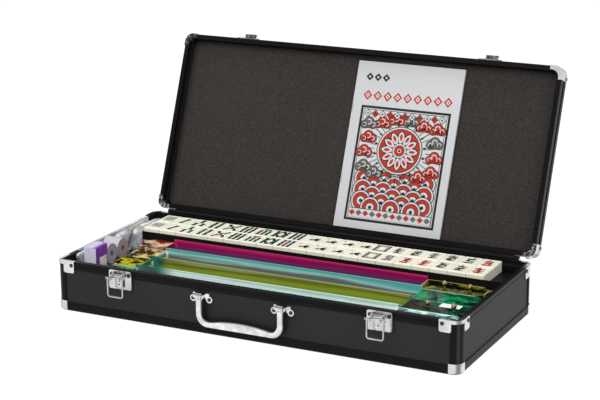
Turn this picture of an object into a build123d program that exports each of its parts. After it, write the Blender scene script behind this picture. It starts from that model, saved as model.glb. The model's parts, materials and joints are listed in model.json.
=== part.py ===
"""A flat carrying case for a tile game, open, with its tiles, racks, chips and rule booklet.

Millimetres. X runs right along the front, Y to the back where the hinges are, Z up.
The origin is the centre of the underside. The lid is drawn shut and then swung open.
"""

from build123d import *
import os
from math import acos, cos, degrees, radians, sin, sqrt

# ---------------------------------------------------------------- the case
case_length = 508
case_depth = 227
base_height = 62
lid_height = 22
lid_gap = 0.3  # between the two rims when the lid is shut
lid_open_angle = 112
corner_radius = 10

frame_thickness = 1.0  # the extrusions stand this far proud of the panels
panel_thickness = 4.0
lining_thickness = 0.8
edging_leg = 11  # outer flange of the bottom and top edging
edging_floor_leg = 10
edging_radius = 3
rim_leg = 10  # outer flange of the base's rim
rim_cap = 2
groove_width = 1.0
groove_depth = 0.5
groove_drop = 4.5  # from the rim's top face to the groove
rim_edge_radius = 0.8
post_leg = 12
lid_rim_leg = 7
lid_rim_cap = 2
lid_rim_radius = 8  # of the rim's inner corners
lid_edging_leg = 9
foam_thickness = 4

# ---------------------------------------------------------------- pressed corners
cap_thickness = 0.8
foot_leg = 13
lid_cap_leg = 16
lid_cap_lip = 4.5  # how far the lip reaches in over the lid's rim
cap_groove_rises = (0.42, 0.58)  # of the two pressed grooves, as parts of the lid's height
bracket_flap = 14
bracket_start = 10.4  # from the case's corner to the flap
bracket_band = 4
bracket_lip = 3.4
lip_thickness = 0.6
flap_radius = 2.5
flap_rivet_in = 3.6
flap_rivet_down = 4.6
cap_rivet_in = 3.4
cap_rivet_up = 15.5

# ---------------------------------------------------------------- rivets
rivet_head_radius = 2.3
rivet_head_height = 0.9
rivet_shank_radius = 1.2
rivet_shank = 5.0
rivet_clearance = 0.05

# ---------------------------------------------------------------- hinges
hinge_end_gap = 25.5  # from each end of the case to the leaves
barrel_overhang = 8  # how far the row of barrels runs past the leaves
hinge_leaf_height = 14
leaf_thickness = 1.2
leaf_start = 1.5  # from the hinge's axis to the near edge of each leaf
barrel_sink = 0.1  # how far a barrel bites into its leaf
hinge_barrel_radius = 3.1
web_drop = 0.5  # from the barrel's crown to the web that joins it to the leaf
hinge_pin_radius = 1.45
knuckle_count = 13  # the base has the odd ones, so also both ends
knuckle_gap = 0.3
stop_knuckles = (3, 9)  # the lid's barrels that carry a stop tail
pin_clearance = 0.05
stop_length = 8
stop_clearance = 0.15
base_hinge_rivet_drop = 10
lid_hinge_rivet_rise = 8.7

# ---------------------------------------------------------------- latches
latch_ends = (88, 93)  # from the case's left and right end to the middle of each latch
plate_width = 30
plate_height = 22.5
plate_thickness = 1.2
plate_drop = 1.4  # the plate's top edge below the rim's top face
plate_radius = 2.5
ear_gap = 15.0  # between the inner faces of the plate's ears
ear_thickness = 1.0
ear_radius = 2.6
lever_pivot_out = 4.2
lever_pivot_drop = 6.0
lever_pin_radius = 1.2
lever_width = 14.0
lever_sheet = 1.2
lever_clearance = 0.3
lever_drop = 4.0
lever_shelf = 2.0
cheek_radius = 2.4
tongue_width = 10
tongue_drop = 15.5
tongue_hole_rise = 4.5
tongue_hole_radius = 1.3
boss_width = 5
boss_height = 4
boss_proud = 1.0
boss_rise = 5.5  # from the plate's lower edge
bail_pivot_out = 12.5
bail_pivot_drop = 8.0
bail_wire = 2.2
bail_reach = 22.0
bail_leg_spacing = 19.6
bail_corner = 3.0
bail_pin_end = 2.4  # the pivot pin's end, past the wire's leg
bail_pin_reach = 0.6  # how far the pin's inner end stands in from the lever's cheek
lever_pin_end = 0.4  # the lever's pin, past each ear
plate_rivet_side = 0.38  # rivets from the plate's middle, as part of its width
plate_rivet_drop = 5
keeper_width = 30
keeper_height = 14
keeper_start = 0.8  # from the lid's rim face
keeper_hook_width = 15.4
keeper_sheet = 1.2
keeper_room = 5.0  # between the keeper's plate and its lip
keeper_lip = 2.6  # how far the lip stands up past the shelf
keeper_play = 0.2

# ---------------------------------------------------------------- carrying handle
handle_shift = -8  # from the case's middle to the handle's
handle_spread = 102.8  # between the middles of the two arms
handle_arm_width = 7.6
handle_thickness = 6
handle_drop = 35.5  # from the pivot to the grip's underside
handle_outer_radius = 15
handle_inner_radius = 9
handle_grip_end = 5.0
handle_grip_crown = 6.0
handle_edge_radius = 1.8
handle_pivot_out = 5.0
handle_pivot_drop = 15.5  # from the rim's top face
handle_bar_radius = 1.9
handle_eye_radius = 4.0
bracket_foot_spacing = 20.8
bracket_foot_radius = 3.9
bracket_foot_drop = 4.5  # from the pivot to the middle of the feet
bracket_foot_thickness = 1.6
bracket_post_gap = 9.0
bracket_post_width = 2.4
bracket_post_height = 5.0

# ---------------------------------------------------------------- tiles and their trays
tile_width = 22.2
tile_depth = 29.8
tile_height = 13.5
tile_pitch_x = 22.4
tile_pitch_y = 30.0
tile_edge_radius = 1.3
tile_rows = 2
tray_count = 4
top_tray_empty = 1  # columns with no tile in the top tray
tray_sheet = 1.2
tray_floor = 1.5
tray_wall_height = 10.2
tray_side_clearance = 0.4
tray_back_room = 17.5  # from the trays to the case's back face
side_bag_room = 18  # the least that the trays leave free at their left
spacer_drop = 4.2  # from the rim's top face to the spacer

# ---------------------------------------------------------------- racks
rack_shifts = (-8, 0, 0, 0)  # along X, the rack next to the tiles first
rack_gap = 0.5
rack_front_room = 7.5  # from the case's front face to the nearest rack
rack_drop = 6.2  # from the rim's top face to a rack's back wall
rack_wall = 2.5
rack_left_room = 84  # from the case's ends to the racks' ledges
rack_right_room = 89
rack_left_end = 35
rack_right_end = 78
rack_end_drop = 4  # from a rack's back wall to its ends
rack_end_radius = 13
rack_ledge_height = 22
rack_ledge_depth = 20
rack_lip_height = 12
pusher_thickness = 3
pusher_height = 18
pusher_arm = 12
pusher_clearance = 0.6
pusher_seat = 0.2
pusher_swing_gap = 0.4  # from its lower back corner to the rack's back wall as it swings up
pusher_pin_radius = 1.8
pusher_pin_in = 8  # from the rack's front face
pusher_pin_drop = 12  # from the rack ends' top
knob_radius = 3.2
knob_neck_radius = 1.5
knob_neck = 1.5
right_knobs = (27, 58)  # from the ledge's right end
left_knobs = (-17.5,)  # from the ledge's left end
right_knob_racks = (0, 2)  # the others have their knobs at the left

# ---------------------------------------------------------------- loose things
content_clearance = 0.6
card_box = (17, 25, 30)
card_box_in = 30.1  # from the front of the free space
chip_radius = 12.3
chip_thickness = 2.4
chip_hole_radius = 3.2
chips_per_roll = 9
chip_roll_gap = 2.7  # from the card box to the first roll
chip_roll_pitch = 25
chip_roll_count = 2
shelf_drop = 23.2  # from the rim's top face to the lower bag
upper_bag = (7.5, 33, 24)
upper_bag_in = 23.1
rear_bag_drop = 2.2
bag_edge_radius = 3
booklet_width = 141
booklet_height = 208
booklet_thickness = 3
booklet_left = -11
booklet_play = 0.2

# ---------------------------------------------------------------- worked out from the above
half_length = case_length / 2
half_depth = case_depth / 2
front = -half_depth
wall_inner = frame_thickness + panel_thickness
wall_total = wall_inner + lining_thickness
floor_top = panel_thickness + lining_thickness
lid_rim = base_height + lid_gap
lid_top = lid_rim + lid_height
lid_rim_inner = wall_inner + frame_thickness
foam_face = lid_top - panel_thickness - foam_thickness
hinge_y = half_depth + leaf_thickness + hinge_barrel_radius - barrel_sink
hinge_z = base_height + lid_gap / 2
latch_middles = (-half_length + latch_ends[0], half_length - latch_ends[1])
plate_top = base_height - plate_drop
plate_face = front - plate_thickness
lever_pivot = (front - lever_pivot_out, base_height - lever_pivot_drop)
bail_pivot = (front - bail_pivot_out, base_height - bail_pivot_drop)
bail_radius = bail_wire / 2
hooked_out = keeper_sheet + keeper_room / 2
hooked_height = bail_pivot[1] + sqrt(bail_reach**2 - (bail_pivot_out - hooked_out) ** 2)
handle_pivot = (front - handle_pivot_out, base_height - handle_pivot_drop)
handle_middles = (handle_shift - handle_spread / 2, handle_shift + handle_spread / 2)
content_left = -half_length + wall_total + content_clearance
content_right = half_length - wall_total - content_clearance
content_front = front + wall_total + content_clearance
content_back = half_depth - wall_total - content_clearance
tray_edges = 2 * tray_sheet + tray_side_clearance
tile_columns = int((content_right - content_left - side_bag_room - tray_edges) / tile_pitch_x)
tray_length = tile_columns * tile_pitch_x + tray_edges
tray_depth = tile_rows * tile_pitch_y + tray_edges
tray_left = content_right - tray_length
tray_front = half_depth - tray_back_room - tray_depth
rack_count = len(rack_shifts)
rack_depth = (tray_front - front - rack_front_room) / rack_count - rack_gap
rack_height = base_height - rack_drop - floor_top
rack_end_height = rack_height - rack_end_drop
rack_ledge_left = -half_length + rack_left_room
rack_ledge_right = half_length - rack_right_room
rack_end_left = rack_ledge_left - rack_left_end + min(rack_shifts)
layer_height = tray_floor + tile_height
rack_fronts = [tray_front - (i + 1) * (rack_depth + rack_gap) for i in range(rack_count)]
pusher_pivot = (pusher_pin_in, floor_top + rack_end_height - pusher_pin_drop)
shelf = base_height - shelf_drop
barrels_end = half_length - hinge_end_gap + barrel_overhang
knuckle_pitch = 2 * barrels_end / knuckle_count

os.makedirs("parts", exist_ok=True)
nodes = {}


# ---------------------------------------------------------------- helpers
def block(x, y, z):
    """A box between its lowest and highest x, y and z."""
    spans = (x, y, z)
    middle = [(low + high) / 2 for low, high in spans]
    return Pos(*middle) * Box(*[high - low for low, high in spans])


def slab(inset, low, high, square=False, radius=None):
    """The case's plan, stepped in by an inset, between two heights."""
    if radius is None:
        radius = corner_radius - inset
    length, depth = case_length - 2 * inset, case_depth - 2 * inset
    if square or radius <= 0:
        outline = Rectangle(length, depth)
    else:
        outline = RectangleRounded(length, depth, radius)
    return Pos(0, 0, low) * extrude(outline, high - low)


def softened(solid, axis_end, radius):
    """A slab with its top (1) or bottom (-1) outline rounded."""
    face = solid.faces().sort_by(Axis.Z)[axis_end]
    return fillet(face.edges(), radius)


def rod(start, along, length, radius):
    """A cylinder from a point along X, Y or Z; a minus sign turns it round."""
    turns = {
        "X": Rot(0, 90, 0), "-X": Rot(0, -90, 0), "Y": Rot(-90, 0, 0),
        "-Y": Rot(90, 0, 0), "Z": Rot(0, 0, 0), "-Z": Rot(180, 0, 0),
    }
    stick = Cylinder(radius, length, align=(Align.CENTER, Align.CENTER, Align.MIN))
    return Pos(*start) * turns[along] * stick


def corner_block(leg, low, high, outside=0.0):
    """The space within a leg of the front left corner."""
    return block((-half_length - outside, -half_length + leg), (front - outside, front + leg), (low, high))


def four_corners(solid):
    """A front left corner piece, mirrored to all four corners."""
    left = [solid, mirror(solid, about=Plane.XZ)]
    return left + [mirror(piece, about=Plane.YZ) for piece in left]


def mitred(ring):
    """A frame cut at 45 degrees into its front, back, left and right lengths."""
    inner = half_length - half_depth
    reach = 20
    near, far = half_length + reach, half_depth + reach
    long_side = Polyline((-near, -far), (near, -far), (inner, 0), (-inner, 0), close=True)
    short_side = Polyline((near, -far), (near, far), (inner, 0), close=True)
    wedges = []
    for line, about in ((long_side, Plane.XZ), (short_side, Plane.YZ)):
        wedge = Pos(0, 0, -reach) * extrude(make_face(line), lid_top + 2 * reach)
        wedges += [wedge, mirror(wedge, about=about)]
    return [ring & wedge for wedge in wedges]


def solids_of(shapes):
    """Every solid in a list of shapes."""
    return [solid for shape in shapes for solid in shape.solids()]


def add(name, *shapes):
    """Keep shapes as one named node."""
    nodes[name] = solids_of(shapes)


def cut_from(name, cutters):
    """Cut a list of shapes from each solid of a node."""
    whole = []
    for solid in nodes[name]:
        box = solid.bounding_box()
        near = [c for c in cutters if boxes_meet(box, c.bounding_box())]
        for cutter in near:
            solid = solid - cutter
        whole += solid.solids()
    nodes[name] = whole


def boxes_meet(one, other):
    """Whether two bounding boxes share space."""
    pairs = zip(tuple(one.min), tuple(one.max), tuple(other.min), tuple(other.max))
    return all(low < high2 and low2 < high for low, high, low2, high2 in pairs)


def opened(shape):
    """A lid piece, drawn shut, swung about the hinge pins to where the lid stands open."""
    return Pos(0, hinge_y, hinge_z) * Rot(-lid_open_angle, 0, 0) * Pos(0, -hinge_y, -hinge_z) * shape


# ---------------------------------------------------------------- rivets
def rivet(at, along):
    """A domed head on a surface, its shank going in along a direction."""
    back = {"X": "-X", "-X": "X", "Y": "-Y", "-Y": "Y", "Z": "-Z", "-Z": "Z"}[along]
    head = rod(at, back, rivet_head_height, rivet_head_radius)
    ends = {"X": Axis.X, "Y": Axis.Y, "Z": Axis.Z}[along[-1]]
    outer = head.edges().group_by(ends)[0 if along in ("X", "Y", "Z") else -1]
    head = fillet(outer, rivet_head_height * 0.7)
    return head + rod(at, along, rivet_shank, rivet_shank_radius)


def rivet_hole(at, along):
    """The hole for one rivet's shank."""
    return rod(at, along, rivet_shank + rivet_clearance, rivet_shank_radius + rivet_clearance)


# ---------------------------------------------------------------- the base's box
def base_panels():
    """Bottom and four walls, each a sheet of fibreboard held by the frame."""
    low, high = edging_radius, base_height - rim_cap
    outer, inner = half_depth - frame_thickness, half_depth - wall_inner
    span = half_length - corner_radius
    add("base_front_panel", block((-span, span), (-outer, -inner), (low, high)))
    add("base_back_panel", block((-span, span), (inner, outer), (low, high)))
    outer, inner = half_length - frame_thickness, half_length - wall_inner
    span = half_depth - corner_radius
    add("base_left_panel", block((-outer, -inner), (-span, span), (low, high)))
    add("base_right_panel", block((inner, outer), (-span, span), (low, high)))
    upper = slab(wall_inner, frame_thickness, panel_thickness, square=True)
    lower = slab(edging_floor_leg, 0, frame_thickness, square=True)
    add("base_bottom_panel", upper + lower)


def edging_hollow(high):
    """What the bottom edging and foot corners leave free for the panels and posts."""
    return [
        slab(frame_thickness, edging_radius, high),
        slab(wall_inner, frame_thickness, edging_radius, square=True),
        slab(edging_floor_leg, 0, frame_thickness, square=True),
    ]


def base_frame():
    """Rim, bottom edging and corner posts, all aluminium extrusion."""
    top = base_height
    ring = softened(slab(0, top - rim_leg, top), -1, rim_edge_radius)
    ring -= slab(frame_thickness, top - rim_leg, top - rim_cap)
    ring -= slab(wall_total, top - rim_leg, top, square=True)
    groove = (top - groove_drop - groove_width, top - groove_drop)
    ring -= slab(0, *groove) - slab(groove_depth, *groove)
    add("base_rim_frame", *mitred(ring))

    edging = softened(slab(0, 0, edging_leg), 0, edging_radius)
    for hollow in edging_hollow(edging_leg):
        edging -= hollow
    span_x, span_y = half_length - foot_leg, half_depth - foot_leg
    reach = (0, edging_leg)
    lengths = [
        block((-span_x, span_x), (-half_depth, -span_y), reach),
        block((-span_x, span_x), (span_y, half_depth), reach),
        block((-half_length, -span_x), (-span_y, span_y), reach),
        block((span_x, half_length), (-span_y, span_y), reach),
    ]
    add("base_bottom_edging", *[edging & length for length in lengths])

    core = slab(frame_thickness, edging_radius, top - rim_cap)
    core -= slab(wall_inner, edging_radius, top - rim_cap, square=True)
    core &= corner_block(corner_radius, edging_radius, top - rim_cap)
    skin = slab(0, foot_leg, top - rim_leg) - slab(frame_thickness, foot_leg, top - rim_leg)
    skin &= corner_block(post_leg, foot_leg, top - rim_leg)
    add("base_corner_posts", *four_corners(core + skin))


def foot_corners():
    """Pressed ball corners that the case stands on."""
    shell = softened(slab(-cap_thickness, 0, foot_leg), 0, edging_radius + cap_thickness)
    for hollow in edging_hollow(foot_leg):
        shell -= hollow
    add("base_foot_corners", *four_corners(shell & corner_block(foot_leg, 0, foot_leg, cap_thickness)))


def rim_brackets():
    """A band over each rim corner with a riveted flap on each face."""
    top, reach = base_height, bracket_start + bracket_flap
    band = slab(-cap_thickness, top - bracket_band, top) - slab(0, top - bracket_band, top)
    lip = slab(-cap_thickness, top - lip_thickness, top)
    lip -= slab(bracket_lip, top - lip_thickness, top, square=True)
    corner = (band + lip) & corner_block(reach, top - bracket_band, top, cap_thickness)
    low, high = top - bracket_flap, top
    middle = bracket_start + bracket_flap / 2
    flap = RectangleRounded(bracket_flap, bracket_flap, flap_radius)
    flap, height = extrude(flap, cap_thickness), (low + high) / 2
    face_flap = Pos(-half_length + middle, front, height) * Rot(90, 0, 0) * flap
    side_flap = Pos(-half_length, front + middle, height) * Rot(0, -90, 0) * flap
    add("base_rim_brackets", *four_corners(corner + face_flap + side_flap))
    cut_from("base_rim_frame", nodes["base_rim_brackets"])


def lining():
    """Thin black lining on the floor and walls, and the foam strip behind the trays."""
    floor = slab(wall_total, panel_thickness, floor_top, square=True)
    walls = slab(wall_inner, panel_thickness, base_height - rim_cap, square=True)
    walls -= slab(wall_total, panel_thickness, base_height - rim_cap, square=True)
    back = (tray_front + tray_depth + content_clearance, half_depth - wall_total)
    spacer = block((tray_left, half_length - wall_total), back, (floor_top, base_height - spacer_drop))
    add("base_lining", floor, *mitred(walls), spacer)


# ---------------------------------------------------------------- the lid, drawn shut
def lid_box():
    """Panels, frame, corners and foam of the lid, drawn shut and swung open."""
    low, high = lid_rim + lid_rim_cap, lid_top - edging_radius
    outer, inner = half_depth - frame_thickness, half_depth - wall_inner
    span = half_length - corner_radius
    add("lid_front_panel", opened(block((-span, span), (-outer, -inner), (low, high))))
    add("lid_back_panel", opened(block((-span, span), (inner, outer), (low, high))))
    outer, inner = half_length - frame_thickness, half_length - wall_inner
    span = half_depth - corner_radius
    add("lid_left_panel", opened(block((-outer, -inner), (-span, span), (low, high))))
    add("lid_right_panel", opened(block((inner, outer), (-span, span), (low, high))))
    under = slab(wall_inner, lid_top - panel_thickness, lid_top - frame_thickness, square=True)
    upper = slab(edging_floor_leg, lid_top - frame_thickness, lid_top, square=True)
    add("lid_top_panel", opened(under + upper))
    foam = slab(wall_inner, foam_face, foam_face + foam_thickness, square=True)
    add("lid_foam_pad", opened(foam))


def lid_hollow(low):
    """What the lid's edging and corner caps leave free for the panels."""
    return [
        slab(frame_thickness, low, lid_top - edging_radius),
        slab(wall_inner, lid_top - edging_radius, lid_top - frame_thickness, square=True),
        slab(edging_floor_leg, lid_top - frame_thickness, lid_top, square=True),
    ]


def lid_caps():
    """Pressed corners that wrap the lid from its top to its rim, with a lip over the rim."""
    shell = slab(-cap_thickness, lid_rim, lid_top)
    shell = softened(shell, -1, edging_radius + cap_thickness)
    for hollow in lid_hollow(lid_rim + lid_rim_leg):
        shell -= hollow
    shell -= slab(0, lid_rim + lip_thickness, lid_rim + lid_rim_leg)
    lip_radius = lid_rim_radius + lid_rim_inner - lid_cap_lip
    shell -= slab(lid_cap_lip, lid_rim, lid_rim + lip_thickness, radius=lip_radius)
    for rise in cap_groove_rises:
        band = (lid_rim + lid_height * rise, lid_rim + lid_height * rise + groove_width)
        shell -= slab(-cap_thickness, *band) - slab(-cap_thickness / 2, *band)
    return four_corners(shell & corner_block(lid_cap_leg, lid_rim, lid_top, cap_thickness))


def lid_frame():
    """Rim, top edging, corner posts and caps of the lid."""
    ring = softened(slab(0, lid_rim, lid_rim + lid_rim_leg), 0, rim_edge_radius)
    ring -= slab(frame_thickness, lid_rim + lid_rim_cap, lid_rim + lid_rim_leg) - slab(
        wall_inner, lid_rim + lid_rim_cap, lid_rim + lid_rim_leg, square=True
    )
    ring -= slab(lid_rim_inner, lid_rim, lid_rim + lid_rim_leg, radius=lid_rim_radius)
    caps = lid_caps()
    rims = mitred(ring)
    for cap in caps:
        rims = [rim - cap for rim in rims]
    add("lid_rim_frame", *[opened(rim) for rim in rims])
    add("lid_corner_caps", *[opened(cap) for cap in caps])

    edging = softened(slab(0, lid_top - lid_edging_leg, lid_top), -1, edging_radius)
    for hollow in lid_hollow(lid_top - lid_edging_leg):
        edging -= hollow
    span_x, span_y = half_length - lid_cap_leg, half_depth - lid_cap_leg
    reach = (lid_top - lid_edging_leg, lid_top)
    lengths = [
        block((-span_x, span_x), (-half_depth, -span_y), reach),
        block((-span_x, span_x), (span_y, half_depth), reach),
        block((-half_length, -span_x), (-span_y, span_y), reach),
        block((span_x, half_length), (-span_y, span_y), reach),
    ]
    add("lid_top_edging", *[opened(edging & length) for length in lengths])

    low, high = lid_rim + lid_rim_cap, lid_top - edging_radius
    post = slab(frame_thickness, low, high) - slab(wall_inner, low, high, square=True)
    add("lid_corner_posts", *[opened(p) for p in four_corners(post & corner_block(corner_radius, low, high))])


# ---------------------------------------------------------------- hinges
def knuckle_span(index):
    """Where a barrel starts and ends along X. The one at an end has no gap at its outer side."""
    start = -barrels_end + index * knuckle_pitch
    return start + knuckle_gap / 2, start + knuckle_pitch - knuckle_gap / 2


def hinge_rod(radius):
    """A rod on the hinge's axis, as long as the row of barrels."""
    return rod((-barrels_end, hinge_y, hinge_z), "X", 2 * barrels_end, radius)


def leaf(side):
    """A full-length leaf on the base's (-1) or the lid's (1) back wall, with every other barrel."""
    reach = half_length - hinge_end_gap
    near, far = side * leaf_start, side * hinge_leaf_height
    plate = block((-reach, reach), (half_depth, half_depth + leaf_thickness),
                  (hinge_z + min(near, far), hinge_z + max(near, far)))
    crown = side * (hinge_barrel_radius - web_drop)
    root = crown - side * leaf_thickness
    for index in range(0 if side < 0 else 1, knuckle_count, 2):
        low, high = knuckle_span(index)
        web = (max(low, -reach), min(high, reach))
        plate += rod((low, hinge_y, hinge_z), "X", high - low, hinge_barrel_radius)
        plate += block(web, (half_depth, hinge_y), (hinge_z + min(crown, root), hinge_z + max(crown, root)))
    return plate - hinge_rod(hinge_pin_radius + pin_clearance)


def stop_tails():
    """Tails on two of the lid's barrels. They come to rest on the base's leaf when the lid is open."""
    near = half_depth + leaf_thickness + stop_clearance
    reach = (near, near + leaf_thickness)
    return [block(knuckle_span(i), reach, (hinge_z - stop_length, hinge_z)) for i in stop_knuckles]


def hinges():
    """The long hinge on the back: two leaves, its pin and its rivets."""
    add("base_hinge_leaves", leaf(-1))
    lid_leaf = opened(leaf(1))
    room = opened(hinge_rod(hinge_pin_radius + pin_clearance))
    for tail in stop_tails():
        lid_leaf += tail - room
    add("lid_hinge_leaves", lid_leaf)
    pin = hinge_rod(hinge_pin_radius)
    spots = [sum(knuckle_span(i)) / 2 for i in range(0, knuckle_count, 2)]
    surface = half_depth + leaf_thickness
    low = [((x, surface, hinge_z - base_hinge_rivet_drop), "-Y") for x in spots]
    high = [((x, surface, hinge_z + lid_hinge_rivet_rise), "-Y") for x in spots]
    return [pin], low, high


# ---------------------------------------------------------------- latches
def latch_plate(middle):
    """The riveted plate with two ears for the lever's pin and a boss that the lever snaps over."""
    centre = plate_top - plate_height / 2
    plate = Pos(middle, front, centre) * Rot(90, 0, 0) * extrude(
        RectangleRounded(plate_width, plate_height, plate_radius), plate_thickness
    )
    pivot_y, pivot_z = lever_pivot
    for side in (-1, 1):
        inner = middle + side * ear_gap / 2
        across = (min(inner, inner + side * ear_thickness), max(inner, inner + side * ear_thickness))
        ear = block(across, (pivot_y, plate_face), (pivot_z - ear_radius, pivot_z + ear_radius))
        ear += rod((across[0], pivot_y, pivot_z), "X", ear_thickness, ear_radius)
        plate += ear
    boss_low = plate_top - plate_height + boss_rise
    boss = block((middle - boss_width / 2, middle + boss_width / 2), (plate_face - boss_proud, plate_face),
                 (boss_low, boss_low + boss_height))
    plate += boss
    start = (middle - plate_width / 2, pivot_y, pivot_z)
    return plate - rod(start, "X", plate_width, lever_pin_radius + pin_clearance)


def latch_lever(middle):
    """A sheet lever: two cheeks from its own pin out to the bail's pin, and a tongue hanging down."""
    pivot_y, pivot_z = lever_pivot
    out_y, out_z = bail_pivot
    half = lever_width / 2
    face = plate_face - boss_proud - lever_clearance
    back = face - lever_sheet - lever_shelf
    slot = SlotCenterToCenter(sqrt((pivot_y - out_y) ** 2 + (pivot_z - out_z) ** 2), 2 * cheek_radius)
    tilt = degrees(acos((pivot_y - out_y) / sqrt((pivot_y - out_y) ** 2 + (pivot_z - out_z) ** 2)))
    cheek_plan = Plane.YZ * (Pos((pivot_y + out_y) / 2, (pivot_z + out_z) / 2) * Rot(0, 0, tilt) * slot)
    lever = block((middle - half, middle + half), (back, face - lever_clearance),
                  (pivot_z - lever_drop, pivot_z - lever_drop + lever_sheet))
    for start in (middle - half, middle + half - lever_sheet):
        lever += Pos(start, 0, 0) * extrude(cheek_plan, lever_sheet)
        lever += block((start, start + lever_sheet), (back, face), (pivot_z - lever_drop, pivot_z))
    lever += block((middle - half, middle + half), (out_y + 2 * lever_sheet, pivot_y - 2 * lever_sheet),
                   (pivot_z - lever_sheet / 4, pivot_z + lever_sheet * 3 / 4))
    tongue_half = tongue_width / 2
    lever += block((middle - tongue_half, middle + tongue_half), (face - lever_sheet, face),
                   (pivot_z - tongue_drop, pivot_z - lever_drop + lever_sheet))
    lever -= rod((middle, face - lever_sheet, pivot_z - tongue_drop + tongue_hole_rise), "Y", lever_sheet,
                 tongue_hole_radius)
    far = middle - plate_width / 2
    lever -= rod((far, pivot_y, pivot_z), "X", plate_width, lever_pin_radius + pin_clearance)
    return lever - rod((far, out_y, out_z), "X", plate_width, bail_radius + pin_clearance)


def latch_bail(middle):
    """A bent wire loop hanging from the lever, its pin ends standing out at both sides."""
    y, z = bail_pivot
    half = bail_leg_spacing / 2
    low = z - bail_reach
    path = FilletPolyline(
        (middle - half, y, z), (middle - half, y, low), (middle + half, y, low), (middle + half, y, z),
        radius=bail_corner,
    )
    start = Plane(origin=(middle - half, y, z), z_dir=(0, 0, -1))
    wire = sweep(start * Circle(bail_radius), path=path)
    inner = lever_width / 2 - lever_sheet - bail_pin_reach
    for side in (-1, 1):
        outer = half + bail_pin_end
        begin = middle + side * inner if side > 0 else middle - outer
        wire += rod((begin, y, z), "X", outer - inner, bail_radius)
    return wire


def keeper(middle):
    """The lid's hook plate: the bail's wire drops in behind its lip."""
    low = lid_rim + keeper_start
    plate = Pos(middle, front, low + keeper_height / 2) * Rot(90, 0, 0) * extrude(
        RectangleRounded(keeper_width, keeper_height, plate_radius), keeper_sheet
    )
    half = keeper_hook_width / 2
    across = (middle - half, middle + half)
    seat = hooked_height - bail_radius - keeper_play
    outer = front - keeper_sheet - keeper_room - keeper_sheet
    shelf = block(across, (outer, front - keeper_sheet), (seat - keeper_sheet, seat))
    lip = block(across, (outer, outer + keeper_sheet), (seat - keeper_sheet, seat + keeper_lip))
    return plate + shelf + lip


def latches():
    """Two draw latches on the front and their keepers on the lid."""
    middles = latch_middles
    add("latch_plates", *[latch_plate(m) for m in middles])
    for name, middle in zip(("left", "right"), middles):
        add(f"latch_lever_{name}", latch_lever(middle))
        add(f"latch_bail_{name}", latch_bail(middle))
    add("lid_latch_keepers", *[opened(keeper(m)) for m in middles])
    pivot_y, pivot_z = lever_pivot
    length = ear_gap + 2 * (ear_thickness + lever_pin_end)
    pins = [rod((m - length / 2, pivot_y, pivot_z), "X", length, lever_pin_radius) for m in middles]
    spots = [m + side * plate_width * plate_rivet_side for m in middles for side in (-1, 1)]
    low = [((x, plate_face, plate_top - plate_rivet_drop), "Y") for x in spots]
    high = [((x, front - keeper_sheet, lid_rim + keeper_start + keeper_height / 2), "Y") for x in spots]
    return pins, low, high


# ---------------------------------------------------------------- handle
def handle():
    """A flat cast handle: two arms, large bends and a crowned grip."""
    y, z = handle_pivot
    outer_half = (handle_spread + handle_arm_width) / 2
    inner_half = (handle_spread - handle_arm_width) / 2
    low = -handle_drop
    rise = low + handle_grip_end
    corners = [(-outer_half, 0), (-outer_half, low), (outer_half, low), (outer_half, 0)]
    outer = make_face(Polyline(*corners, close=True))
    outer = fillet(outer.vertices().group_by(Axis.Y)[0], handle_outer_radius)
    sides = Polyline((inner_half, rise), (inner_half, 5), (-inner_half, 5), (-inner_half, rise))
    crown = ThreePointArc((-inner_half, rise), (0, rise + handle_grip_crown), (inner_half, rise))
    inner = make_face(Curve() + [sides, crown])
    inner = fillet(inner.vertices().group_by(Axis.Y)[0], handle_inner_radius)
    bow = Pos(0, y + handle_thickness / 2, z) * Rot(90, 0, 0) * extrude(outer - inner, handle_thickness)
    near_face = handle_thickness * 0.49
    rims = [e for e in bow.edges() if abs(e.center().Y - y) > near_face and e.center().Z < z - 0.01]
    bow = fillet(rims, handle_edge_radius)
    for side in (-1, 1):
        start = (side * handle_spread / 2 - handle_arm_width / 2, y, z)
        bow += rod(start, "X", handle_arm_width, handle_eye_radius)
        bow -= rod(start, "X", handle_arm_width, handle_bar_radius + pin_clearance)
    return bow


def handle_bracket(middle):
    """Two riveted feet, two posts and the bar that the handle's eye turns on."""
    y, z = handle_pivot
    panel = front + frame_thickness
    low, half = z - bracket_foot_drop, bracket_post_height / 2
    bracket = None
    for side in (-1, 1):
        foot = middle + side * bracket_foot_spacing / 2
        piece = rod((foot, panel, low), "-Y", bracket_foot_thickness, bracket_foot_radius)
        inner = middle + side * bracket_post_gap / 2
        outer = inner + side * bracket_post_width
        across = (min(inner, outer), max(inner, outer))
        piece += block(across, (y, panel), (z - half, z + half))
        piece += rod((across[0], y, z), "X", bracket_post_width, half)
        across = (min(inner, foot), max(inner, foot))
        piece += block(across, (panel - bracket_foot_thickness, panel), (low, z + half))
        bracket = piece if bracket is None else bracket + piece
    length = bracket_post_gap + 2 * bracket_post_width
    return bracket + rod((middle - length / 2, y, z), "X", length, handle_bar_radius)


def handle_set():
    """The handle and its two brackets."""
    add("handle", Pos(handle_shift, 0, 0) * handle())
    add("handle_brackets", *[handle_bracket(m) for m in handle_middles])
    surface = front + frame_thickness - bracket_foot_thickness
    z = handle_pivot[1] - bracket_foot_drop
    feet = [m + side * bracket_foot_spacing / 2 for m in handle_middles for side in (-1, 1)]
    return [((x, surface, z), "Y") for x in feet]


# ---------------------------------------------------------------- rivet places on the corners
def corner_rivets():
    """One rivet in each flap of the rim bracket at the front left corner."""
    along = bracket_start + bracket_flap - flap_rivet_in
    high = base_height - flap_rivet_down
    return [((-half_length + along, front - cap_thickness, high), "Y"),
            ((-half_length - cap_thickness, front + along, high), "X")]


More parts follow.
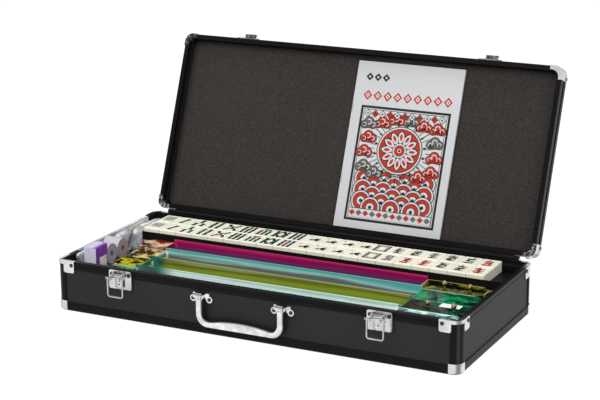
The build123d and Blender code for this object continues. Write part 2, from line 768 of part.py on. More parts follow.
def lid_cap_rivets():
    """One rivet in each face of the lid's front left corner cap."""
    along = lid_cap_leg - cap_rivet_in
    high = lid_rim + cap_rivet_up
    return [((-half_length + along, front - cap_thickness, high), "Y"),
            ((-half_length - cap_thickness, front + along, high), "X")]


def to_four_corners(places):
    """Rivet places at the front left corner, repeated at all four."""
    turned = {"X": "-X", "Y": "-Y"}
    out = []
    for (x, y, z), along in places:
        for sx in (1, -1):
            for sy in (1, -1):
                flip = (along == "X" and sx < 0) or (along == "Y" and sy < 0)
                out.append(((x * sx, y * sy, z), turned[along] if flip else along))
    return out


def rivets(low_places, high_places):
    """All rivets of the base and of the lid, with their holes cut in what they hold."""
    add("base_rivets", *[rivet(at, along) for at, along in low_places])
    add("lid_rivets", *[opened(rivet(at, along)) for at, along in high_places])
    holes = [rivet_hole(at, along) for at, along in low_places]
    for name in ("base_front_panel", "base_back_panel", "base_left_panel", "base_right_panel", "base_rim_frame",
                 "base_rim_brackets", "base_lining", "base_hinge_leaves", "latch_plates", "handle_brackets"):
        cut_from(name, holes)
    holes = [opened(rivet_hole(at, along)) for at, along in high_places]
    for name in ("lid_front_panel", "lid_back_panel", "lid_left_panel", "lid_right_panel", "lid_rim_frame",
                 "lid_top_edging", "lid_corner_caps", "lid_hinge_leaves", "lid_latch_keepers"):
        cut_from(name, holes)


# ---------------------------------------------------------------- trays and tiles
def tray(level):
    """A shallow open tray of thin sheet."""
    low = floor_top + level * layer_height
    right, back = tray_left + tray_length, tray_front + tray_depth
    whole = block((tray_left, right), (tray_front, back), (low, low + tray_wall_height))
    hollow = block(
        (tray_left + tray_sheet, right - tray_sheet),
        (tray_front + tray_sheet, back - tray_sheet),
        (low + tray_floor, low + tray_wall_height),
    )
    return whole - hollow


def tiles(level, columns):
    """Rows of tiles lying face up in one tray, filled from its left end."""
    tile = fillet(Box(tile_width, tile_depth, tile_height).edges(), tile_edge_radius)
    z = floor_top + level * layer_height + tray_floor + tile_height / 2
    left = tray_left + tray_sheet + tray_side_clearance / 2 + tile_pitch_x / 2
    near = tray_front + tray_sheet + tray_side_clearance / 2 + tile_pitch_y / 2
    columns_x = [left + i * tile_pitch_x for i in range(columns)]
    places = [(x, near + j * tile_pitch_y, z) for j in range(tile_rows) for x in columns_x]
    return [Pos(*place) * tile for place in places]


def tile_trays():
    """The stack of trays, bottom one first; the top one has an empty column at its right end."""
    for level in range(tray_count):
        columns = tile_columns - top_tray_empty if level == tray_count - 1 else tile_columns
        add(f"tile_tray_{level + 1}", tray(level))
        add(f"tiles_{level + 1}", *tiles(level, columns))


# ---------------------------------------------------------------- racks
def rack_end(left, right, y, outer_side):
    """A box end, open underneath, its two outer corners rounded."""
    low, high = floor_top, floor_top + rack_end_height
    end = block((left, right), (y, y + rack_depth), (low, high))
    outer = end.edges().filter_by(Axis.Z).group_by(Axis.X)[0 if outer_side < 0 else -1]
    end = fillet(outer, rack_end_radius)
    hollow = block(
        (left + rack_wall, right - rack_wall), (y + rack_wall, y + rack_depth - rack_wall), (low, high - rack_wall)
    )
    outer = hollow.edges().filter_by(Axis.Z).group_by(Axis.X)[0 if outer_side < 0 else -1]
    return end - fillet(outer, rack_end_radius - rack_wall)


def rack(number):
    """One clear rack: a back wall, a raised ledge for tiles, a low front lip and a box at each end."""
    left, right, low = rack_ledge_left, rack_ledge_right, floor_top
    ledge_low, ledge_high = low + rack_ledge_height - rack_wall, low + rack_ledge_height
    ledge_front = rack_depth - rack_ledge_depth
    body = block((left, right), (0, rack_depth), (low, low + rack_wall))
    body += block((left, right), (rack_depth - rack_wall, rack_depth), (low, low + rack_height))
    body += block((left, right), (ledge_front, rack_depth), (ledge_low, ledge_high))
    body += block((left, right), (ledge_front, ledge_front + rack_wall), (low, ledge_high))
    body += block((left, right), (0, rack_wall), (low, low + rack_lip_height))
    body += rack_end(left - rack_left_end, left, 0, -1)
    body += rack_end(right, right + rack_right_end, 0, 1)
    for start, along in ((left, "-X"), (right, "X")):
        body -= rod((start, *pusher_pivot), along, rack_wall, pusher_pin_radius)
    for x in knob_places(number):
        body -= rod((x, rack_depth / 2, low + rack_end_height), "-Z", rack_wall, knob_neck_radius)
    return body


def pusher():
    """A clear bar on the ledge with an arm at each end that swings on the pins."""
    pin_y, pin_z = pusher_pivot
    left, right = rack_ledge_left + pusher_clearance, rack_ledge_right - pusher_clearance
    low = floor_top + rack_ledge_height + pusher_seat
    reach = rack_depth - rack_wall - pusher_swing_gap - pin_y
    back = pin_y + (reach**2 - (pin_z - low) ** 2) ** 0.5
    bar = block((left, right), (back - pusher_thickness, back), (low, low + pusher_height))
    half = pusher_arm / 2
    for start in (left, right - pusher_thickness):
        arm = block((start, start + pusher_thickness), (pin_y, back), (pin_z - half, pin_z + half))
        arm += rod((start, pin_y, pin_z), "X", pusher_thickness, half)
        bar += arm
        bar -= rod((start, pin_y, pin_z), "X", pusher_thickness, pusher_pin_radius + pin_clearance)
    return bar


def knob_places(number):
    """Where a rack has its knobs along X."""
    if number in right_knob_racks:
        return [rack_ledge_right + along for along in right_knobs]
    return [rack_ledge_left + along for along in left_knobs]


def brass(number):
    """The pusher's two pins and the knobs of one rack."""
    length = rack_wall + pusher_clearance + pusher_thickness + knob_neck
    pieces = [rod((rack_ledge_left - rack_wall, *pusher_pivot), "X", length, pusher_pin_radius),
              rod((rack_ledge_right + rack_wall, *pusher_pivot), "-X", length, pusher_pin_radius)]
    top = floor_top + rack_end_height
    for x in knob_places(number):
        neck = rod((x, rack_depth / 2, top - rack_wall), "Z", rack_wall + knob_neck, knob_neck_radius)
        pieces.append(neck + Pos(x, rack_depth / 2, top + knob_neck + knob_radius * 0.8) * Sphere(knob_radius))
    return pieces


def racks():
    """The racks side by side, the first one next to the tile trays."""
    for number, shift in enumerate(rack_shifts):
        place = Pos(shift, rack_fronts[number], 0)
        add(f"rack_{number + 1}", place * rack(number))
        add(f"pusher_{number + 1}", place * pusher())
        add(f"rack_brass_{number + 1}", *[place * piece for piece in brass(number)])


# ---------------------------------------------------------------- loose things at the left
def soft_block(x, y, z, radius=bag_edge_radius):
    """A bag as a plain block with soft edges."""
    return fillet(block(x, y, z).edges(), radius)


def accessories():
    """Bags, the card box and two rolls of chips in the space left of the racks and trays."""
    add("accessory_bag_lower", soft_block(
        (content_left, rack_end_left - content_clearance),
        (rack_fronts[-1], tray_front - content_clearance), (floor_top, shelf)
    ))
    width, depth, height = upper_bag
    x, y = content_left, content_front + upper_bag_in
    add("accessory_bag_upper", soft_block((x, x + width), (y, y + depth), (shelf, shelf + height)))
    x, y = x + width + content_clearance, content_front + card_box_in
    width, depth, height = card_box
    add("purple_card_box", block((x, x + width), (y, y + depth), (shelf, shelf + height)))
    rolls = []
    middle = y + depth + chip_roll_gap + chip_radius
    for roll in range(chip_roll_count):
        for i in range(chips_per_roll):
            start = (content_left + i * chip_thickness, middle + roll * chip_roll_pitch, shelf + chip_radius)
            chip = rod(start, "X", chip_thickness, chip_radius)
            rolls.append(chip - rod(start, "X", chip_thickness, chip_hole_radius))
    add("chip_rolls", *rolls)
    add("accessory_bag_rear", soft_block(
        (content_left, tray_left - content_clearance),
        (tray_front + content_clearance, content_back), (floor_top, base_height - rear_bag_drop)
    ))


def booklet():
    """A stapled booklet standing in the open lid, its back against the foam."""
    bottom = half_depth - lid_rim_inner - booklet_play
    z = foam_face - booklet_play - booklet_thickness
    add("booklet", opened(block(
        (booklet_left, booklet_left + booklet_width),
        (bottom - booklet_height, bottom),
        (z, z + booklet_thickness),
    )))


# ---------------------------------------------------------------- build and write
def build():
    """Make every node."""
    base_panels()
    base_frame()
    foot_corners()
    rim_brackets()
    lining()
    lid_box()
    lid_frame()
    hinge_pins, hinge_low, hinge_high = hinges()
    lever_pins, latch_low, latch_high = latches()
    add("pivot_pins", *hinge_pins, *lever_pins)
    handle_low = handle_set()
    low = hinge_low + latch_low + handle_low + to_four_corners(corner_rivets())
    rivets(low, hinge_high + latch_high + to_four_corners(lid_cap_rivets()))
    tile_trays()
    racks()
    accessories()
    booklet()


build()
for name, solids in nodes.items():
    export_step(solids[0] if len(solids) == 1 else Compound(children=solids), f"parts/{name}.step")

hooked = 180 + degrees(acos((hooked_height - bail_pivot[1]) / bail_reach))
lean = radians(lid_open_angle - 90)
print(len(nodes), "nodes,", sum(len(solids) for solids in nodes.values()), "solids")
print(f"lid hinge axis: y {hinge_y:.2f}, z {hinge_z:.2f}")
print(f"lever pin: y {lever_pivot[0]:.2f}, z {lever_pivot[1]:.2f}")
print(f"bail pin: y {bail_pivot[0]:.2f}, z {bail_pivot[1]:.2f}")
print(f"bail hooked at {hooked:.2f} degrees; handle pin: y {handle_pivot[0]:.2f}, z {handle_pivot[1]:.2f}")
print(f"the booklet lifts out along y {-cos(lean):.4f}, z {sin(lean):.4f}")
print("pusher pins: y", [round(y + pusher_pivot[0], 2) for y in rack_fronts], "z", round(pusher_pivot[1], 2))
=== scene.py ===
# %% [markdown]
# # A flat metal-framed case for a tile game
# The case stands open. The frame gives every hard piece at its real size: panels, metal edging,
# corners, latches, handle, trays, tiles and racks. This lesson gives them their finishes and makes
# what is soft or printed: the lid's foam, the bags, the booklet, the marks on the tiles.
# Everything is in metres, and a small constant turns millimetres into metres.

# %% Load the frame
import json
import math
import random
import bmesh
import bpy
from mathutils import Matrix, Vector, noise


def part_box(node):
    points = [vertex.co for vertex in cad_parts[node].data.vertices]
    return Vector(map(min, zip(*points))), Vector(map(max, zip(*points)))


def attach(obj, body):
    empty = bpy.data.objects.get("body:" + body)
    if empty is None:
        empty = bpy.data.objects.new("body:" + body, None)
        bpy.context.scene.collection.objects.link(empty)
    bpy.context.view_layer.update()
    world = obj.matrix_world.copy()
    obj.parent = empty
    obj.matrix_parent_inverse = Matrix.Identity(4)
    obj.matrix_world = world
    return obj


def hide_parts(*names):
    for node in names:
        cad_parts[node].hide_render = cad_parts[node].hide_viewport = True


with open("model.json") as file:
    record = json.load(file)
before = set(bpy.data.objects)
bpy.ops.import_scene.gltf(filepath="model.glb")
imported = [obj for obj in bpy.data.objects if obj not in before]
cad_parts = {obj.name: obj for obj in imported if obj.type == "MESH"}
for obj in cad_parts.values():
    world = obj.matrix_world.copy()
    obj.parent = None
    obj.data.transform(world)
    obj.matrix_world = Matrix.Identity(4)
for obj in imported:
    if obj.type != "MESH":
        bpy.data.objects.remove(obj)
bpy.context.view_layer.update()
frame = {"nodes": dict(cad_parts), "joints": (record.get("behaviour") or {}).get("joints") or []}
nodes = frame["nodes"]
MM = 0.001

# %% [markdown]
# The lid hangs open on its hinges. It is easier to shape a piece for the lid while the lid is shut
# and level, and then to swing it open, so one matrix holds that swing. The hinge joint knows how
# far it is from shut: that is the top of its range.

# %% The lid's swing
joints = {joint["name"]: joint for joint in frame["joints"]}
hinge = joints["lid_hinge"]
HINGE_AT = Vector(hinge["pos_m"])
OPEN_ANGLE = math.radians(hinge["range_deg"][1])
SWING = Matrix.Translation(HINGE_AT) @ Matrix.Rotation(-OPEN_ANGLE, 4, "X") @ Matrix.Translation(-HINGE_AT)
UNSWING = SWING.inverted()


def shut_box(node):
    """A lid node's lowest and highest corner, measured as if the lid were shut."""
    points = [UNSWING @ vertex.co for vertex in nodes[node].data.vertices]
    low = Vector([min(p[axis] for p in points) for axis in range(3)])
    high = Vector([max(p[axis] for p in points) for axis in range(3)])
    return low, high


print("lid open by", round(math.degrees(OPEN_ANGLE)), "degrees")

# %% [markdown]
# Data shows only once an object of the scene holds it, so a small helper does both steps.


# %% Into the scene
def show(name, data):
    """Makes an object of some data and links it to the scene."""
    made = bpy.data.objects.new(name, data)
    bpy.context.scene.collection.objects.link(made)
    return made


# %% [markdown]
# ## The camera
# A long lens far away keeps the case's edges nearly parallel, as in a catalogue picture. The camera
# is placed by its bearing round the case, its height angle and a slight roll.

# %% Camera
BEARING, HEIGHT, ROLL = math.radians(26.4695), math.radians(15.8989), math.radians(-0.3901)
CAMERA_AT = Vector((0.90503, -1.79864, 0.70924))
FOCAL_PIXELS = 1810.48
FRAME_PIXELS = 600
SENSOR = 36

lens = bpy.data.cameras.new("camera")
lens.sensor_width = SENSOR
lens.lens = FOCAL_PIXELS * SENSOR / FRAME_PIXELS
camera = show("camera", lens)
away = Vector((math.sin(BEARING) * math.cos(HEIGHT), -math.cos(BEARING) * math.cos(HEIGHT), math.sin(HEIGHT)))
level = Vector((math.cos(BEARING), math.sin(BEARING), 0))
above = away.cross(level)
right = math.cos(ROLL) * level + math.sin(ROLL) * above
turn = Matrix((right, away.cross(right), away)).transposed()
camera.matrix_world = Matrix.Translation(CAMERA_AT) @ turn.to_4x4()
bpy.context.scene.camera = camera
bpy.context.scene.view_settings.view_transform = "Standard"
print("lens", round(lens.lens, 1), "mm")

# %% [markdown]
# ## Writing shader maths as Python
# A finish is a small tree of nodes. Wrapping a socket in a class that knows +, -, *, /, > and <
# lets the tree be written as an expression: `1 - mask * 0.5` adds the Math nodes by itself.


# %% Sockets that add up
def sign(operation, reflected=False):
    """A method that answers one of Python's signs with a Math node."""
    return lambda wire, other: wire.math(operation, other, reflected)


class Wire:
    """An output socket that can be used in sums."""

    def __init__(self, net, socket):
        self.net = net
        self.socket = socket

    def math(self, operation, other=0.0, reflected=False):
        pair = (other, self) if reflected else (self, other)
        return self.net.node("ShaderNodeMath", {"operation": operation}, dict(enumerate(pair)))

    __add__, __radd__ = sign("ADD"), sign("ADD", True)
    __sub__, __rsub__ = sign("SUBTRACT"), sign("SUBTRACT", True)
    __mul__, __truediv__ = sign("MULTIPLY"), sign("DIVIDE")
    __gt__, __lt__ = sign("GREATER_THAN"), sign("LESS_THAN")


class Net:
    """A node tree that is written as sums."""

    def __init__(self, tree):
        self.tree = tree

    def plug(self, socket, value):
        """Gives a socket a plain value or a link."""
        if isinstance(value, Wire):
            self.tree.links.new(value.socket, socket)
        else:
            socket.default_value = value

    def node(self, kind, settings=None, inputs=None, output=0):
        """Adds any node. Its settings come first, then its sockets."""
        node = self.tree.nodes.new(kind)
        for setting, value in (settings or {}).items():
            setattr(node, setting, value)
        for socket, value in (inputs or {}).items():
            self.plug(node.inputs[socket], value)
        return Wire(self, node.outputs[output])


class Finish(Net):
    """One material: a Principled shader and what feeds it."""

    def __init__(self, name, color, roughness, **sockets):
        self.material = bpy.data.materials.new(name)
        self.material.use_nodes = True
        super().__init__(self.material.node_tree)
        self.shader = self.tree.nodes["Principled BSDF"]
        self.set("Base Color", (*color, 1))
        self.set("Roughness", roughness)
        for socket, value in sockets.items():
            self.set(socket.replace("_", " "), value)

    def set(self, socket, value):
        self.plug(self.shader.inputs[socket], value)

    def place(self):
        """Where a point is on the object, in metres."""
        return self.node("ShaderNodeTexCoord", output="Object")

    def axes(self):
        """The place as three numbers."""
        place = self.place()
        return [self.node("ShaderNodeSeparateXYZ", inputs={0: place}, output=axis) for axis in range(3)]

    def noise(self, scale, detail=2.0, stretch=None):
        """Soft random patches, about 1 / scale metres across."""
        place = self.place()
        if stretch:
            place = self.node("ShaderNodeMapping", inputs={"Vector": place, "Scale": stretch})
        return self.node("ShaderNodeTexNoise", inputs={"Vector": place, "Scale": scale, "Detail": detail})

    def ramp(self, factor, *stops):
        """Turns a number into a colour. A stop is a number and its colour."""
        color = self.node("ShaderNodeValToRGB", inputs={0: factor})
        elements = color.socket.node.color_ramp.elements
        while len(elements) < len(stops):
            elements.new(1)
        for element, (position, shade) in zip(elements, stops):
            element.position, element.color = position, (*shade, 1)
        return color

    def smooth(self, value, low, high):
        """0 below low, 1 above high, and smooth between them."""
        return self.node("ShaderNodeMapRange", {"interpolation_type": "SMOOTHSTEP"},
                         {"Value": value, "From Min": low, "From Max": high})

    def mix(self, factor, first, second):
        """A colour between two colours."""
        pair = [value if isinstance(value, Wire) else (*value, 1) for value in (first, second)]
        return self.node("ShaderNodeMix", {"data_type": "RGBA"}, {0: factor, 6: pair[0], 7: pair[1]}, 2)

    def squareness(self, tilt=0.0):
        """1 where a face looks straight along an axis, and less where an edge rounds over."""
        normal = self.node("ShaderNodeTexCoord", output="Normal")
        level = self.node("ShaderNodeVectorRotate", {"rotation_type": "X_AXIS"},
                          {"Vector": normal, "Angle": tilt})
        parts = [self.node("ShaderNodeSeparateXYZ", inputs={0: level}, output=axis).math("ABSOLUTE")
                 for axis in range(3)]
        return parts[0].math("MAXIMUM", parts[1]).math("MAXIMUM", parts[2])

    def done(self, color, roughness=None, bump=None):
        """Plugs in what was worked out and gives the material. A bump is a height, how many metres
        deep it goes, and its strength."""
        self.set("Base Color", color)
        if roughness is not None:
            self.set("Roughness", roughness)
        if bump:
            inputs = dict(zip(("Height", "Distance", "Strength"), bump))
            self.set("Normal", self.node("ShaderNodeBump", inputs=inputs))
        return self.material


print("shader helpers ready")

# %% [markdown]
# ## The finishes of the case
# The panels are fibreboard under an embossed black film, the edging is black anodised aluminium,
# and the corners, rivets, latches and handle are plated steel. Plating is never quite even, so its
# roughness wanders a little, and stamped steel waves a bit.


# %% Panels and edging
def panel_finish():
    """Black film pressed with a fine grain, dusted a little."""
    finish = Finish("embossed black film", (0.02, 0.02, 0.021), 0.46, Specular_IOR_Level=0.16)
    cloud = finish.noise(14, 3)
    grain = finish.noise(1500, 2)
    color = finish.mix(cloud, (0.011, 0.0115, 0.0115), (0.023, 0.022, 0.0225))
    return finish.done(color, 0.4 + grain * 0.2, (grain, 0.0001, 0.5))


def edging_finish(name, tilt=0.0):
    """Black anodised aluminium with the faint lines of the extrusion die, and a painted highlight:
    paler where its edges round over."""
    finish = Finish(name, (0.01, 0.01, 0.01), 0.3, Specular_IOR_Level=0.08)
    lines = finish.noise(500, 2, (0.02, 1, 1))
    cloud = finish.noise(20, 2)
    flat = finish.smooth(finish.squareness(tilt), 0.74, 0.9)
    anodised = finish.mix(cloud, (0.003, 0.003, 0.0032), (0.008, 0.0078, 0.008))
    # painted highlight: where the edging rounds over, it takes the paler colour
    color = finish.mix(flat, (0.034, 0.035, 0.036), anodised)
    return finish.done(color, 0.26 + lines * 0.18, (lines, 0.00003, 0.4))


def lining_finish():
    """Thin black felt."""
    finish = Finish("black felt lining", (0.01, 0.01, 0.01), 0.95, Specular_IOR_Level=0.1)
    fibres = finish.noise(2600, 3)
    color = finish.mix(fibres, (0.003, 0.003, 0.003), (0.014, 0.014, 0.014))
    return finish.done(color, bump=(fibres, 0.0002, 0.6))


# %% Metals
def plated_finish(name, color, low, high, waviness, tilt=0.0, worn=0.78):
    """Bright plating: low and high are the roughness it wanders between. Where an edge rounds over it
    is painted darker, a painted dark reflection, and worn is how much of its colour its stains keep.
    A tilt turns the lid's faces level first."""
    finish = Finish(name, color, low, Metallic=1.0)
    cloud = finish.noise(120, 3)
    stain = finish.smooth(finish.noise(90, 3), 0.3, 0.7)
    # painted dark reflection: rounded edges keep only 0.3 of the plating's colour
    dull, painted_dark_edge = [tuple(channel * share for channel in color) for share in (worn, 0.3)]
    flat = finish.smooth(finish.squareness(tilt), 0.79, 0.96)
    return finish.done(finish.mix(flat, painted_dark_edge, finish.mix(stain, dull, color)), low + cloud * (high - low),
                       (finish.noise(190, 2), waviness, 0.8))


PANEL = panel_finish()
EDGING = edging_finish("black anodised edging")
LID_EDGING = edging_finish("black anodised lid edging", OPEN_ANGLE)
LINING = lining_finish()
CORNER = plated_finish("plated corner", (0.72, 0.73, 0.74), 0.07, 0.18, 0.0004)
PLATE = plated_finish("plated latch", (0.66, 0.67, 0.67), 0.12, 0.3, 0.0005)
POLISH = plated_finish("polished casting", (0.88, 0.88, 0.88), 0.03, 0.09, 0.0003, 0.0, 0.62)
LID_CORNER = plated_finish("plated lid corner", (0.7, 0.71, 0.72), 0.07, 0.18, 0.0004, OPEN_ANGLE)
KEEPER = plated_finish("worn keeper plate", (0.62, 0.62, 0.63), 0.2, 0.4, 0.0005, OPEN_ANGLE, 0.06)
RIVET = plated_finish("blackened rivet", (0.07, 0.07, 0.072), 0.2, 0.4, 0.0003)
BRASS = plated_finish("polished brass", (1.0, 0.86, 0.46), 0.06, 0.16, 0.0003)


def dress(names, material):
    """Gives a finish to the CAD nodes whose names start or end so."""
    for name, node in nodes.items():
        if name.startswith(names) or name.endswith(names):
            node.data.materials.clear()
            node.data.materials.append(material)


for names, material in (
    ("_panel", PANEL), (("base_rim_frame", "base_bottom_edging", "base_corner_posts"), EDGING),
    (("lid_rim_frame", "lid_top_edging", "lid_corner_posts"), LID_EDGING), ("base_lining", LINING),
    (("base_foot_corners", "base_rim_brackets"), CORNER), ("lid_corner_caps", LID_CORNER),
    (("latch_", "pivot_pins"), PLATE), (("lid_latch_keepers", "lid_rivets"), KEEPER), ("base_rivets", RIVET),
    ("handle", POLISH), ("rack_brass", BRASS),
):
    dress(names, material)
print("case dressed")

# %% [markdown]
# ## Trays, tiles and racks
# The trays are thin black sheet, like the hinge leaves. The tiles are thick cream resin that passes
# a little light. The racks and their pushers are tinted acrylic: it lets light run along inside and
# out at its edges, so the edges look brighter than the faces. Each colour here is the look of face
# and edge, so the racks' edge glow, highlights and reflections are painted into their colours.


# %% Trays and tiles
def tray_finish():
    """Thin black plastic sheet."""
    finish = Finish("thin black sheet", (0.006, 0.005, 0.005), 0.4, Specular_IOR_Level=0.12)
    grain = finish.noise(700, 2)
    color = finish.mix(finish.noise(18, 2), (0.003, 0.0026, 0.0026), (0.009, 0.008, 0.008))
    return finish.done(color, 0.32 + grain * 0.2, (grain, 0.00008, 0.5))


def tile_finish(name):
    """Cream resin, polished: whiter on its face, warmer and a little green down its sides."""
    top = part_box(name)[1].z
    finish = Finish("cream tile resin " + name, (0.82, 0.82, 0.74), 0.22, Subsurface_Weight=0.1,
                    Subsurface_Scale=0.003)
    _, _, z = finish.axes()
    cloud = finish.noise(40, 3)
    face = finish.smooth(z, top - 2.5 * MM, top - 0.3 * MM)
    side = finish.mix(cloud, (0.78, 0.77, 0.6), (0.88, 0.87, 0.72))
    polished = finish.mix(cloud, (0.77, 0.75, 0.61), (0.87, 0.85, 0.73))
    return finish.done(finish.mix(face, side, polished), 0.2 + finish.noise(300, 2) * 0.16)


TRAY = tray_finish()
dress(("tile_tray", "_hinge_leaves"), TRAY)
for name in [name for name in nodes if name.startswith("tiles_")]:
    dress(name, tile_finish(name))


# %% Racks
LEFT_END, RIGHT_END, END_WALL = 35 * MM, 78 * MM, 3.6 * MM
# width of the painted edge glow on the racks' end boxes, and the height where it starts
LIT_EDGE, LIT_FROM = 1.2 * MM, 44.5 * MM


def acrylic_finish(name, bands, left_tints, right_tints, green_reach=0):
    """Tinted acrylic. The bands run down from a rack's top edge; they hold the tint with painted edge
    light and painted reflections, and streaks of painted highlight break them up. An end box has a
    deep tint with lighter clouds and dark gaps, a painted view of what shows through, and its top
    edges carry a painted glow. The green of the bag beside it is painted in as far as green_reach."""
    low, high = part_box(name)
    finish = Finish("acrylic " + name, bands[0], 0.12, Specular_IOR_Level=0.16)
    x, y, z = finish.axes()
    # painted highlight streaks that run along the bands
    painted_highlight_streak = finish.noise(30, 4, (0.16, 1, 3))
    depth = (high.z - z) / (11 * MM) + (painted_highlight_streak * 1.8 - 0.9) * finish.smooth(high.z - z, 0.4 * MM, 3 * MM)
    body = finish.ramp(depth, *[(0.04 + 0.24 * order, band) for order, band in enumerate(bands)])
    patch = finish.smooth(finish.noise(50, 3, (1, 1, 1.6)), 0.42, 0.6)
    # painted view through the acrylic: the green of the bag behind
    if green_reach:
        near = 1 - finish.smooth(x, low.x + green_reach * 0.7, low.x + green_reach)
        body = finish.mix(near * 0.92, body, finish.mix(patch, (0.002, 0.055, 0.038), (0.008, 0.17, 0.13)))
    # painted highlight on the inner wall of the left end box, in its fourth tint
    near_end = (x > low.x + LEFT_END) * (x < low.x + (LEFT_END + END_WALL))
    body = finish.mix(near_end * finish.smooth(depth, 0.25, 0.5), body, left_tints[3])
    # painted view through the end boxes: lighter clouds and dark gaps
    cloud = finish.smooth(finish.noise(85, 4, (0.7, 1, 1)), 0.44, 0.6)
    gaps = finish.smooth(finish.noise(70, 3, (1, 1, 0.4)), 0.52, 0.58)
    # painted edge glow along the top edges of each end box; edge is the colour of that glow
    upper = z > low.z + LIT_FROM
    rims = (y < low.y + LIT_EDGE).math("MAXIMUM", y > high.y - LIT_EDGE)
    boxes = ((low.x, low.x + LEFT_END, left_tints), (high.x - RIGHT_END, high.x, right_tints))
    for start, end, (deep, light, edge, *_) in boxes:
        inside = (x > start) * (x < end)
        sides = (x < start + LIT_EDGE).math("MAXIMUM", x > end - LIT_EDGE)
        glow = rims.math("MAXIMUM", sides) * upper
        painted_see_through = finish.mix(gaps, finish.mix(cloud, deep, light), tuple(channel * 0.18 for channel in deep))
        body = finish.mix(inside, body, finish.mix(glow, painted_see_through, edge))
    return finish.done(body, 0.05 + finish.noise(200, 2) * 0.1)


# For each rack: its bands from the top edge down; the tints of its left end box (deep, lighter clouds,
# painted edge glow, painted highlight of its inner wall); those of its right end box (deep, lighter clouds,
# painted edge glow); and for racks 3 and 4 how far the bag's green reaches. The bands mix each tint with
# painted edge light and painted reflections.
RACK_TINTS = {
    1: (((0.46, 0.025, 0.13), (0.37, 0.005, 0.09), (0.25, 0.006, 0.085), (0.18, 0.025, 0.12)),
        ((0.16, 0.003, 0.006), (0.62, 0.5, 0.3), (0.45, 0.02, 0.04), (0.5, 0.05, 0.1)),
        ((0.012, 0.014, 0.001), (0.17, 0.17, 0.006), (0.5, 0.44, 0.12))),
    2: (((0.08, 0.39, 0.36), (0.14, 0.5, 0.46), (0.36, 0.66, 0.62), (0.14, 0.17, 0.16)),
        ((0.06, 0.035, 0.006), (0.6, 0.5, 0.24), (0.75, 0.66, 0.4), (0.85, 0.8, 0.6)),
        ((0.0, 0.05, 0.025), (0.0, 0.27, 0.09), (0.01, 0.28, 0.17))),
    3: (((0.27, 0.3, 0.11), (0.1, 0.13, 0.015), (0.18, 0.21, 0.01), (0.25, 0.31, 0.035)),
        ((0.02, 0.03, 0.004), (0.5, 0.4, 0.02), (0.3, 0.4, 0.05), (0.75, 0.7, 0.35)),
        ((0.002, 0.01, 0.006), (0.0, 0.06, 0.03), (0.02, 0.22, 0.14)), 62 * MM),
    4: (((0.48, 0.72, 0.58), (0.86, 0.96, 0.94), (0.58, 0.82, 0.74), (0.8, 0.88, 0.95)),
        ((0.01, 0.06, 0.02), (0.16, 0.4, 0.14), (0.3, 0.6, 0.4), (0.3, 0.7, 0.6)),
        ((0.05, 0.26, 0.24), (0.6, 0.85, 0.82), (0.8, 0.95, 0.93)), 92 * MM),
}
for number, tints in RACK_TINTS.items():
    dress((f"rack_{number}", f"pusher_{number}"), acrylic_finish(f"rack_{number}", *tints))
print("racks dressed")

# %% [markdown]
# ## Making pieces
# Every new piece is a closed mesh at its real place. This helper gives it its finish, tells the
# frame which body carries it, and hides the CAD nodes that it stands for.


# %% Piece helper
def baked(name, shell):
    """A plain mesh from a bmesh, with its faces turned outwards."""
    bmesh.ops.recalc_face_normals(shell, faces=shell.faces)
    mesh = bpy.data.meshes.new(name)
    shell.to_mesh(mesh)
    shell.free()
    return mesh


def piece(name, mesh, material, body, replaces=(), swung=False, smooth=False):
    """Puts a bmesh or mesh into the scene as a piece that rides on a body."""
    data = baked(name, mesh) if isinstance(mesh, bmesh.types.BMesh) else mesh
    if swung:
        data.transform(SWING)
    for face in data.polygons:
        face.use_smooth = smooth
    if material:
        data.materials.clear()
        data.materials.append(material)
    made = show(name, data)
    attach(made, body)
    if replaces:
        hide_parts(*replaces)
    return made


# %% [markdown]
# ## The lid's foam
# A sheet of dark foam with light flecks lines the lid. It is cut a touch large and pressed in, so
# its rim rolls down at the edges and its face is never quite flat. It is built as a grid whose
# height follows a rule: flat in the middle, rounded at the rim, with slow waves.


# %% Foam
def foam_finish():
    """Dark foam with light flecks."""
    finish = Finish("speckled foam", (0.05, 0.048, 0.046), 0.95, Specular_IOR_Level=0.1)
    speck = finish.noise(620, 3)
    fine = finish.noise(1500, 2)
    cloud = finish.noise(9, 2)
    mottle = finish.ramp(speck * 0.7 + fine * 0.3, (0.36, (0.02, 0.018, 0.016)), (0.5, (0.032, 0.029, 0.027)),
                         (0.64, (0.056, 0.05, 0.047)))
    color = finish.mix(cloud * 0.4, mottle, (0.044, 0.038, 0.037))
    return finish.done(color, bump=(fine + speck, 0.0003, 0.6))


CORNER_ROUND, WAVE = 8.5 * MM, 0.4 * MM


def rounded(offset, half):
    """Pulls a point of a rectangle into its rounded corner, and gives how far it is from the rim."""
    inner = [size - CORNER_ROUND for size in half]
    past = [abs(value) - limit for value, limit in zip(offset, inner)]
    if min(past) <= 0:
        return offset, CORNER_ROUND - max(past)
    shrink = max(past) / math.hypot(*past)
    moved = [math.copysign(limit + over * shrink, value) for limit, over, value in zip(inner, past, offset)]
    return moved, CORNER_ROUND - max(past)


